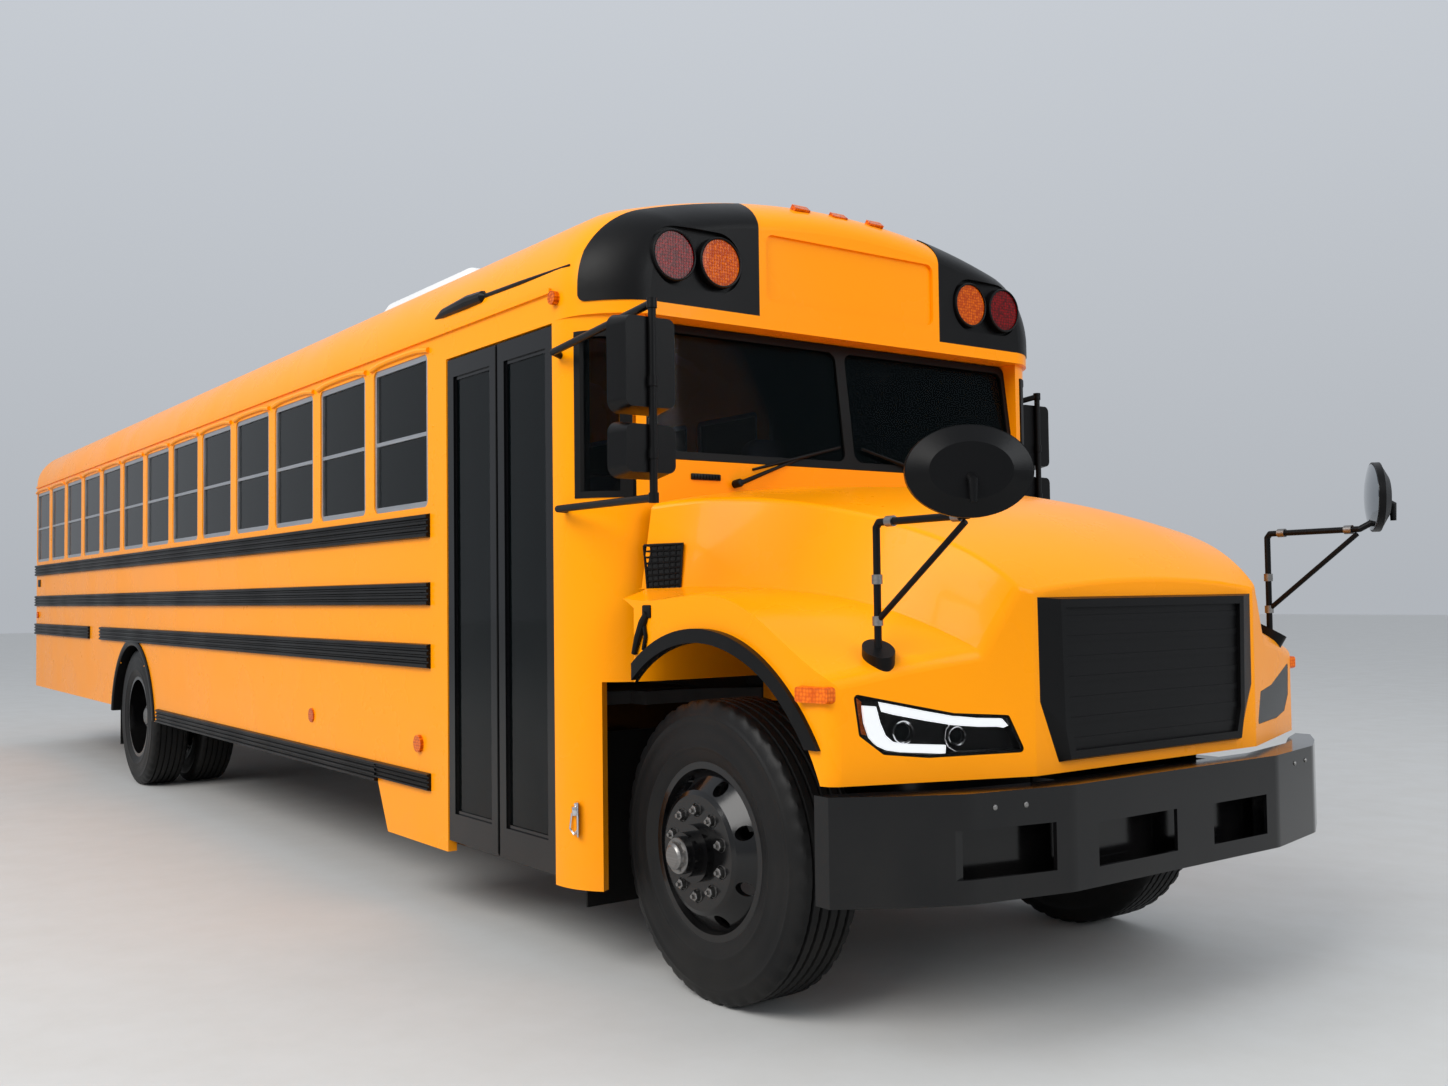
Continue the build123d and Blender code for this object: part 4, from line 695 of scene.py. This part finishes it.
# %% Window brows and rivets
brow_lap, brow_length, brow_y, brow_z, brow_rise, brow_radius = 0.018, 0.651, 1.2225, 2.460, 0.016, 0.0130
post_offset, rivet_heights = 0.0525, (1.255, 0.90, 1.78, 1.95, 2.12, 2.29, 2.44)
rivet_head = [(0, 0.0022), (0.004, 0.0017), (0.0058, 0)]


def brow_line(front, side):
    """Seven points of a shallow arch above one window."""
    return [(front + brow_lap - brow_length * t / 6, side * brow_y, brow_z + brow_rise * (1 - (t / 3 - 1) ** 4))
            for t in range(7)]


for word, side in sides:
    brows, rivets = bmesh.new(), bmesh.new()
    for i in range(window_count):
        front = window_front_x - window_pitch * i
        add_tube(brows, brow_line(front, side), brow_radius, 8)
        for z in rivet_heights:
            add_turned(rivets, rivet_head, (front + post_offset, side * skin_y, z), (0, side, 0), 8)
    make_piece(f"window_brows_{word}", brows, yellow_paint)
    make_piece(f"side_rivets_{word}", rivets, yellow_paint)

# %% [markdown]
# The trim is small, but it catches the eye because it is dark or bright on yellow. A
# long black blade lies on each shoulder of the roof, a slotted vent below each outer
# end of the screen, and a mesh vent with five corners on each flank of the hood.

# %% Shoulder blades and vents
blade_line = ((3.20, 1.203, 2.590), (3.31, 1.206, 2.600), (3.55, 1.204, 2.606), (3.68, 1.204, 2.604),
              (3.70, 1.204, 2.604), (4.00, 1.206, 2.598), (4.38, 1.204, 2.592))
blade_radii = [0.003, 0.022, 0.030, 0.026, 0.010, 0.009, 0.004]
slot_vent_z, slat_x, slat_pitch = 1.812, 4.589, 0.014
mesh_corners = ((4.607, 1.034, 1.550), (4.746, 0.963, 1.553), (4.754, 0.983, 1.390), (4.709, 1.009, 1.366),
                (4.643, 1.042, 1.366))


def on_side(points, side):
    """Points given for the left side, moved to a side."""
    return [Vector((x, side * y, z)) for x, y, z in points]


def make_blade_and_slots(word, side):
    """The shoulder blade and the slotted vent of one side."""
    net = bmesh.new()
    add_tube(net, on_side(blade_line, side), blade_radii, 10)
    make_piece(f"shoulder_blade_{word}", net)
    net = bmesh.new()
    add_block(net, (4.583, side * 0.742, slot_vent_z), (0.010, 0.135, 0.024), 0.004)
    for k in range(9):
        add_block(net, (slat_x, side * (0.686 + slat_pitch * k), slot_vent_z), (0.004, 0.003, 0.018), 0.001)
    make_piece(f"slot_vent_{word}", net)


def make_mesh_vent(word, side):
    """The five-cornered vent on a hood flank: a plate, a rim and two sets of bars."""
    net = bmesh.new()
    corners = on_side(mesh_corners, side)
    top_rear, top_front, low_front, _, low_rear = corners
    out = Vector((0.45, side * 0.89, 0.13)).normalized()
    near, far = [[net.verts.new(p + out * rise) for p in corners] for rise in (0.004, -0.010)]
    net.faces.new(near)
    bridge(net, near, far)
    add_tube(net, [p + out * 0.004 for p in corners + corners[:1]], 0.006, 8)
    for k in range(1, 8):
        a, b = top_rear.lerp(low_rear, k / 8.5), top_front.lerp(low_front, k / 8)
        add_tube(net, [a + out * 0.006, b + out * 0.006], 0.0035, 6)
    for k in range(1, 6):
        a, b = top_rear.lerp(top_front, k / 6), low_rear.lerp(low_front, k / 6)
        add_tube(net, [a + out * 0.005, b + out * 0.005], 0.0025, 6)
    make_piece(f"mesh_vent_{word}", net, body="hood")


print("blades and vents ready to make")

# %% [markdown]
# A rubber strap holds each flank of the hood down. Low on each side, just behind the
# front wheel, is a chrome catch: a plate, a boss, a bent wire and two screws. A square
# reflector base sits near each rear corner. One loop then makes all the trim.

# %% Straps, catches and reflectors
strap_line = ((4.868, 1.198, 1.312), (4.850, 1.204, 1.280), (4.822, 1.206, 1.230), (4.795, 1.205, 1.175))
strap_tail = ((4.852, 1.203, 1.285), (4.866, 1.204, 1.235), (4.850, 1.203, 1.190))
catch_wire = ((-0.018, 0.010, 0.02), (-0.020, 0.016, -0.035), (0.0, 0.012, -0.055), (0.022, 0.008, -0.035),
              (0.020, 0.004, 0.02))
screw_head = [(0, 0.005), (0.006, 0.004), (0.007, 0)]


def make_strap(word, side):
    """The rubber strap that holds one flank of the hood."""
    net = bmesh.new()
    add_tube(net, on_side(strap_line, side), [0.013, 0.016, 0.014, 0.010], 10)
    add_tube(net, on_side(strap_tail, side), 0.007, 8)
    add_block(net, (4.866, side * 1.196, 1.318), (0.050, 0.016, 0.044), 0.006)
    make_piece(f"hood_strap_{word}", net, trim_rubber, "hood")


def make_catch_and_reflector(word, side):
    """The chrome catch of one side, and the reflector base near its rear."""
    net = bmesh.new()
    turn = Matrix(((0.92, side * 0.38, 0), (-side * 0.38, 0.92, 0), (0, 0, 1))).transposed()
    spot = Vector((4.398, side * 1.203, 0.568))
    add_block(net, spot, (0.060, 0.006, 0.125), 0.002, turn)
    add_block(net, spot + Vector((0, side * 0.010, 0.030)), (0.034, 0.018, 0.034), 0.004, turn)
    add_tube(net, [spot + p for p in on_side(catch_wire, side)], 0.004, 8)
    for z in (-0.050, 0.052):
        add_turned(net, screw_head, spot + Vector((0, side * 0.003, z)), (0.38, side * 0.92, 0), 10)
    make_piece(f"cowl_catch_{word}", net, bright_chrome)
    net = bmesh.new()
    add_block(net, (-5.955, side * 1.222, 1.565), (0.110, 0.010, 0.070), 0.004)
    make_piece(f"rear_reflector_{word}", net)


for word, side in sides:
    make_blade_and_slots(word, side)
    make_mesh_vent(word, side)
    make_strap(word, side)
    make_catch_and_reflector(word, side)

# %% [markdown]
# Two wipers rest on the screen. Each has a spindle cap, a tapered arm and a blade that
# lies along the glass. Turned shapes and tubes make them, and they are one piece.

# %% Wipers
spindle = [(0, 0.030), (0.012, 0.029), (0.016, 0.022), (0.016, -0.012)]
arm_line = ((4.614, 0.604, 1.792), (4.588, 0.420, 1.856), (4.578, 0.290, 1.900))
wiper_line = ((4.584, 0.520, 1.850), (4.577, 0.300, 1.903), (4.568, 0.060, 1.962))
net = bmesh.new()
for side in (-1, 1):
    add_turned(net, spindle, (4.592, side * 0.604, 1.792), (1, 0, 0.1), 16)
    add_tube(net, on_side(arm_line, side), [0.010, 0.007, 0.005], 8)
    add_tube(net, on_side(wiper_line, side), [0.005, 0.008, 0.005], 8)
make_piece("wipers", net)

# %% [markdown]
# Mirror glass is a thin bright plate set in each housing at the side. Clamps hold the
# housings to their stalks. The right pair stands further forward than the left.

# %% Side mirror glass and clamps
flat_mirrors = ((2.113, 0.318), (1.837, 0.182))
side_clamp = [(0.013, -0.016), (0.017, -0.016), (0.017, 0.016), (0.013, 0.016)]
net, clamps = bmesh.new(), bmesh.new()
for side, head_x, head_y in ((-1, 5.065, 1.334), (1, 4.344, 1.350)):
    for z, height in flat_mirrors:
        add_block(net, (head_x - 0.0475, side * head_y, z), (0.006, 0.180, height - 0.036), 0.002)
    for z in (2.300, 2.050, 1.820, 1.680):
        add_turned(clamps, side_clamp, (head_x + 0.056, side * head_y, z), (0, 0, 1), 16)
make_piece("side_mirror_glass", net, mirror_glass)
make_piece("side_mirror_clamps", clamps)

# %% [markdown]
# The two round mirrors over the nose are domed: the glass is a set of ellipses that
# rise towards the middle. Each head has a bent stem behind it and clamps on its stalk.

# %% Nose mirror glass, clamps and stems
dome_rings = ((0.95, 0.022), (0.95, 0.025), (0.7, 0.033), (0.4, 0.039), (0.12, 0.041))
half_width, half_height, dome_steps = 0.172, 0.124, 48
stem_places = ((0.024, 0.02), (0.045, 0.03), (0.045, 0.085))
stalk_y, stalk_clamp = 1.006, [(0.011, -0.014), (0.016, -0.014), (0.016, 0.014), (0.011, 0.014)]
clamp_places = ((5.790, 1.290, (0, 0, 1)), (5.790, 1.410, (0, 0, 1)), (6.110, 1.5768, (1, 0, 0)),
                (5.850, 1.5762, (1, 0, 0)))
net, clamps, stems = bmesh.new(), bmesh.new(), bmesh.new()
for side in (-1, 1):
    back = Vector((0.81, side * 0.58, 0)).normalized()
    across = Vector((-side * 0.58, 0.81, 0)).normalized()
    centre = Vector((6.200, side * 1.050, 1.690))
    rings = []
    for size, rise in dome_rings:
        rings.append([net.verts.new(centre - back * rise + size * (
            half_width * cos(2 * pi * k / dome_steps) * across
            + half_height * sin(2 * pi * k / dome_steps) * Vector((0, 0, 1)))) for k in range(dome_steps)])
    for a, b in zip(rings, rings[1:]):
        bridge(net, a, b)
    net.faces.new(rings[-1])
    for x, z, axis in clamp_places:
        add_turned(clamps, stalk_clamp, (x, side * stalk_y, z), axis, 16)
    stem_line = [centre + back * behind + Vector((0, 0, -below)) for behind, below in stem_places]
    add_tube(stems, stem_line, [0.016, 0.014, 0.010], 12)
make_piece("nose_mirror_glass", net, mirror_glass, body="hood")
make_piece("nose_mirror_clamps", clamps, dull_steel, body="hood")
make_piece("nose_mirror_stems", stems, body="hood")

# %% [markdown]
# The stop arm has a pale border and a red lamp above and below on both faces. It
# stays blank. The border is an eight-sided flat ring made from two octagons.

# %% Stop arm border and lamps
arm_x, arm_y, arm_z, arm_half_thickness, border_radii = 3.450, 1.279, 1.465, 0.0068, (0.236, 0.218)
arm_lamp = [(0, 0.016), (0.030, 0.014), (0.044, 0.009), (0.048, 0.003), (0.048, -0.004)]
corner_turns = [pi / 8 + k * pi / 4 for k in range(8)]
border, lamps = bmesh.new(), bmesh.new()
for face in (-1, 1):
    y = arm_y + face * arm_half_thickness
    outer, inner = [[border.verts.new((arm_x + r * cos(t), y, arm_z + r * sin(t))) for t in corner_turns]
                    for r in border_radii]
    bridge(border, outer, inner)
    for rise in (-0.15, 0.15):
        add_turned(lamps, arm_lamp, (arm_x, y, arm_z + rise), (0, face, 0), 32)
make_piece("stop_arm_border", border, stop_white, "stop_arm", smooth=False)
make_piece("stop_arm_lamps", lamps, red_lens, "stop_arm")

# %% [markdown]
# Bus seats are foam under tight vinyl, so no face is flat. A cushion starts as a cube
# cut into small cells. Every point is pushed out towards a rounded, crowned form, and
# narrow dips are pressed in where the seams run. All benches share two meshes.

# %% Padded seat forms
squareness, side_waist, seam_depth, seam_width, falloff = 7, 0.05, 0.006, 0.010, 2.718


def padded_mesh(name, size, seams, crown=0.18):
    """A crowned cushion about the origin. seams are (axis, place) pairs in shares of the half size."""
    net = bmesh.new()
    bmesh.ops.create_cube(net, size=2)
    bmesh.ops.subdivide_edges(net, edges=net.edges, cuts=13, use_grid_fill=True)
    for vert in net.verts:
        p = vert.co.copy()
        spread = (abs(p.x) ** squareness + abs(p.y) ** squareness + abs(p.z) ** squareness) ** (1 / squareness)
        q = p * (max(abs(p.x), abs(p.y), abs(p.z)) / spread)
        q.z *= 1 - crown * (0.5 * q.x ** 4 + 0.5 * q.y ** 4)
        q.x *= 1 - side_waist * (1 - q.y ** 2) * abs(q.z)
        dip = 0
        for axis, place in seams:
            off = (q[axis] - place) * size[axis] / 2
            dip += seam_depth * falloff ** (-(off / seam_width) ** 2)
        moved = Vector((q.x * size[0], q.y * size[1], q.z * size[2])) / 2
        moved.z -= dip * (1 if q.z > 0 else -1) * min(1, abs(q.z) * 1.5)
        vert.co = moved
    return make_mesh(name, net, seat_vinyl)


def place_pad(name, mesh, centre, lean, node):
    """One padded piece: lean tips it back about the side-to-side axis."""
    pad = bpy.data.objects.new(name, mesh)
    scene.collection.objects.link(pad)
    pad.matrix_world = Matrix.Translation(centre) @ Matrix.Rotation(lean, 4, "Y")
    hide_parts(node)
    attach(pad, "bus_body")


bench = padded_mesh("bench_cushion", (0.545, 0.940, 0.150), ((0, -0.80), (1, 0.0), (0, 0.82)))
bench_back = padded_mesh("bench_back", (0.700, 0.940, 0.092), ((0, 0.80), (0, -0.80), (1, 0.0)), 0.12)
bench_y, back_lean = 0.675, pi / 2 + 0.075
for row in range(row_count):
    x = row_front_x - row_pitch * row
    for word, side in sides:
        place_pad(f"cushion_{word}_{row + 1}", bench, (x - 0.272, side * bench_y, 1.360), 0.0, "passenger_seats")
        place_pad(f"back_{word}_{row + 1}", bench_back, (x - 0.4935, side * bench_y, 1.722), back_lean,
                  "passenger_seats")
print("pads", 4 * row_count)

# %% [markdown]
# Under each bench a bent steel tube frame carries the cushion to the floor, which is
# raised over the rear wheels. A hoop of thinner tube runs round each back. Both lines
# give how far back a point lies from the place of its row. One piece holds them all.

# %% Bench frames
low_floor, raised_floor, raised_reach = 1.010, 1.190, 0.9
leg_line = ((0.115, 0), (0.115, 1.268), (0.135, 1.284), (0.375, 1.284), (0.388, 1.268), (0.388, 0))
hoop_line = ((0.520, 0.215, 1.31), (0.553, 0.215, 2.040), (0.554, 0.245, 2.064), (0.554, 1.105, 2.064),
             (0.553, 1.135, 2.040), (0.520, 1.135, 1.31))
net = bmesh.new()
for row in range(row_count):
    x = row_front_x - row_pitch * row
    floor_height = raised_floor if abs(x - 0.25 - rear_axle_x) < raised_reach else low_floor
    foot = floor_height + 0.001
    for side in (-1, 1):
        for y in (0.260, 1.090):
            add_tube(net, [(x - back, side * y, max(z, foot)) for back, z in leg_line], 0.011, 6)
            for foot_x in (x - 0.115, x - 0.385):
                add_block(net, (foot_x, side * y, floor_height + 0.003), (0.045, 0.045, 0.005), 0.001)
        add_tube(net, [(x - back, side * y, z) for back, y, z in hoop_line], 0.010, 6)
make_piece("bench_frames", net, dull_steel, stands_for="passenger_seats")

# %% [markdown]
# The driver has a narrower seat on a pedestal with a pleated cover.

# %% Driver's seat
driver_y = 0.580
driver_cushion = padded_mesh("driver_cushion", (0.480, 0.500, 0.125), ((0, 0.7), (1, 0.62), (1, -0.62)))
driver_back = padded_mesh("driver_back", (0.690, 0.500, 0.105), ((0, -0.45), (1, 0.6), (1, -0.6)), 0.16)
place_pad("driver_seat_cushion", driver_cushion, (3.735, driver_y, 1.402), -0.03, "driver_seat")
place_pad("driver_seat_back", driver_back, (3.452, driver_y, 1.800), pi / 2 - 0.13, "driver_seat")
net = bmesh.new()
add_block(net, (3.725, driver_y, 1.180), (0.250, 0.200, 0.338), 0.020)
for k in range(6):
    add_block(net, (3.725, driver_y, 1.06 + 0.045 * k), (0.262, 0.212, 0.020), 0.008)
make_piece("driver_pedestal", net, dash_plastic, stands_for="driver_seat")

# %% [markdown]
# A black moulding lines each rear wheel opening, with a lip that covers the edge of
# the panel. Its section is turned about the arch's centre in forty steps, and stops
# just over the skirt's bottom edge at both ends.

# %% Rear arch mouldings
arch_section = [(0.639, 1.160), (0.639, 1.2205), (0.668, 1.2205), (0.668, 1.229), (0.656, 1.234), (0.632, 1.234),
                (0.620, 1.226), (0.620, 1.160)]
arch_height, arch_start, arch_steps = 0.425, 0.150, 40
for word, side in sides:
    net = bmesh.new()
    rings = []
    for k in range(arch_steps + 1):
        turn = arch_start + (pi - 2 * arch_start) * k / arch_steps
        rings.append([net.verts.new((rear_axle_x + r * cos(turn), side * y, arch_height + r * sin(turn)))
                      for r, y in arch_section])
    for a, b in zip(rings, rings[1:]):
        bridge(net, a, b)
    net.faces.new(rings[0])
    net.faces.new(rings[-1][::-1])
    make_piece(f"rear_arch_moulding_{word}", net)

# %% [markdown]
# Last come the bolts on the bumper's swept ends, hinges on the rear door and a rubber
# edge on the entry door.

# %% Bolts, hinges and door edge
bolt_head = [(0, 0.005), (0.005, 0.0045), (0.008, 0.002), (0.0085, -0.006)]
bumper_x, bend_y, swept_back, swept_over = 6.095, 0.530, 0.075, 0.355
hinge_y, door_edge_x, door_edge_y = -0.372, 3.8085, -1.2165
net = bmesh.new()
for side in (-1, 1):
    for y in (0.800, 0.695):
        bolt_x = bumper_x - swept_back * (y - bend_y) / swept_over
        add_turned(net, bolt_head, (bolt_x, side * y, 0.762), (0.978, side * 0.207, 0), 12)
make_piece("bumper_bolts", net, dull_steel)
net = bmesh.new()
for z in (1.15, 1.70, 2.25):
    add_tube(net, [(-6.182, hinge_y, z - 0.05), (-6.182, hinge_y, z + 0.05)], 0.009, 10)
    add_block(net, (-6.174, -0.400, z), (0.008, 0.060, 0.080), 0.002)
make_piece("rear_door_hinges", net)
net = bmesh.new()
add_tube(net, [(door_edge_x, door_edge_y, 0.360), (door_edge_x, door_edge_y, 2.375)], 0.0035, 8)
make_piece("entry_door_seal", net, trim_rubber, "door_rear_leaf")

# %% [markdown]
# The floor is a plain pale sheet, cut into cells and given a faint grain. It is no
# part of the bus, and it keeps the soft shadow.

# %% Studio floor
net = bmesh.new()
bmesh.ops.create_grid(net, x_segments=8, y_segments=8, size=60)
floor_mesh = bpy.data.meshes.new("studio_floor")
net.to_mesh(floor_mesh)
net.free()
studio_floor = bpy.data.objects.new("studio_floor", floor_mesh)
scene.collection.objects.link(studio_floor)
floor_mesh.materials.append(dusty_finish("studio_floor", (0.55, 0.55, 0.54), (0.6, 0.75), 60, 0.1, 0.1, 3.0))
print("floor ready")
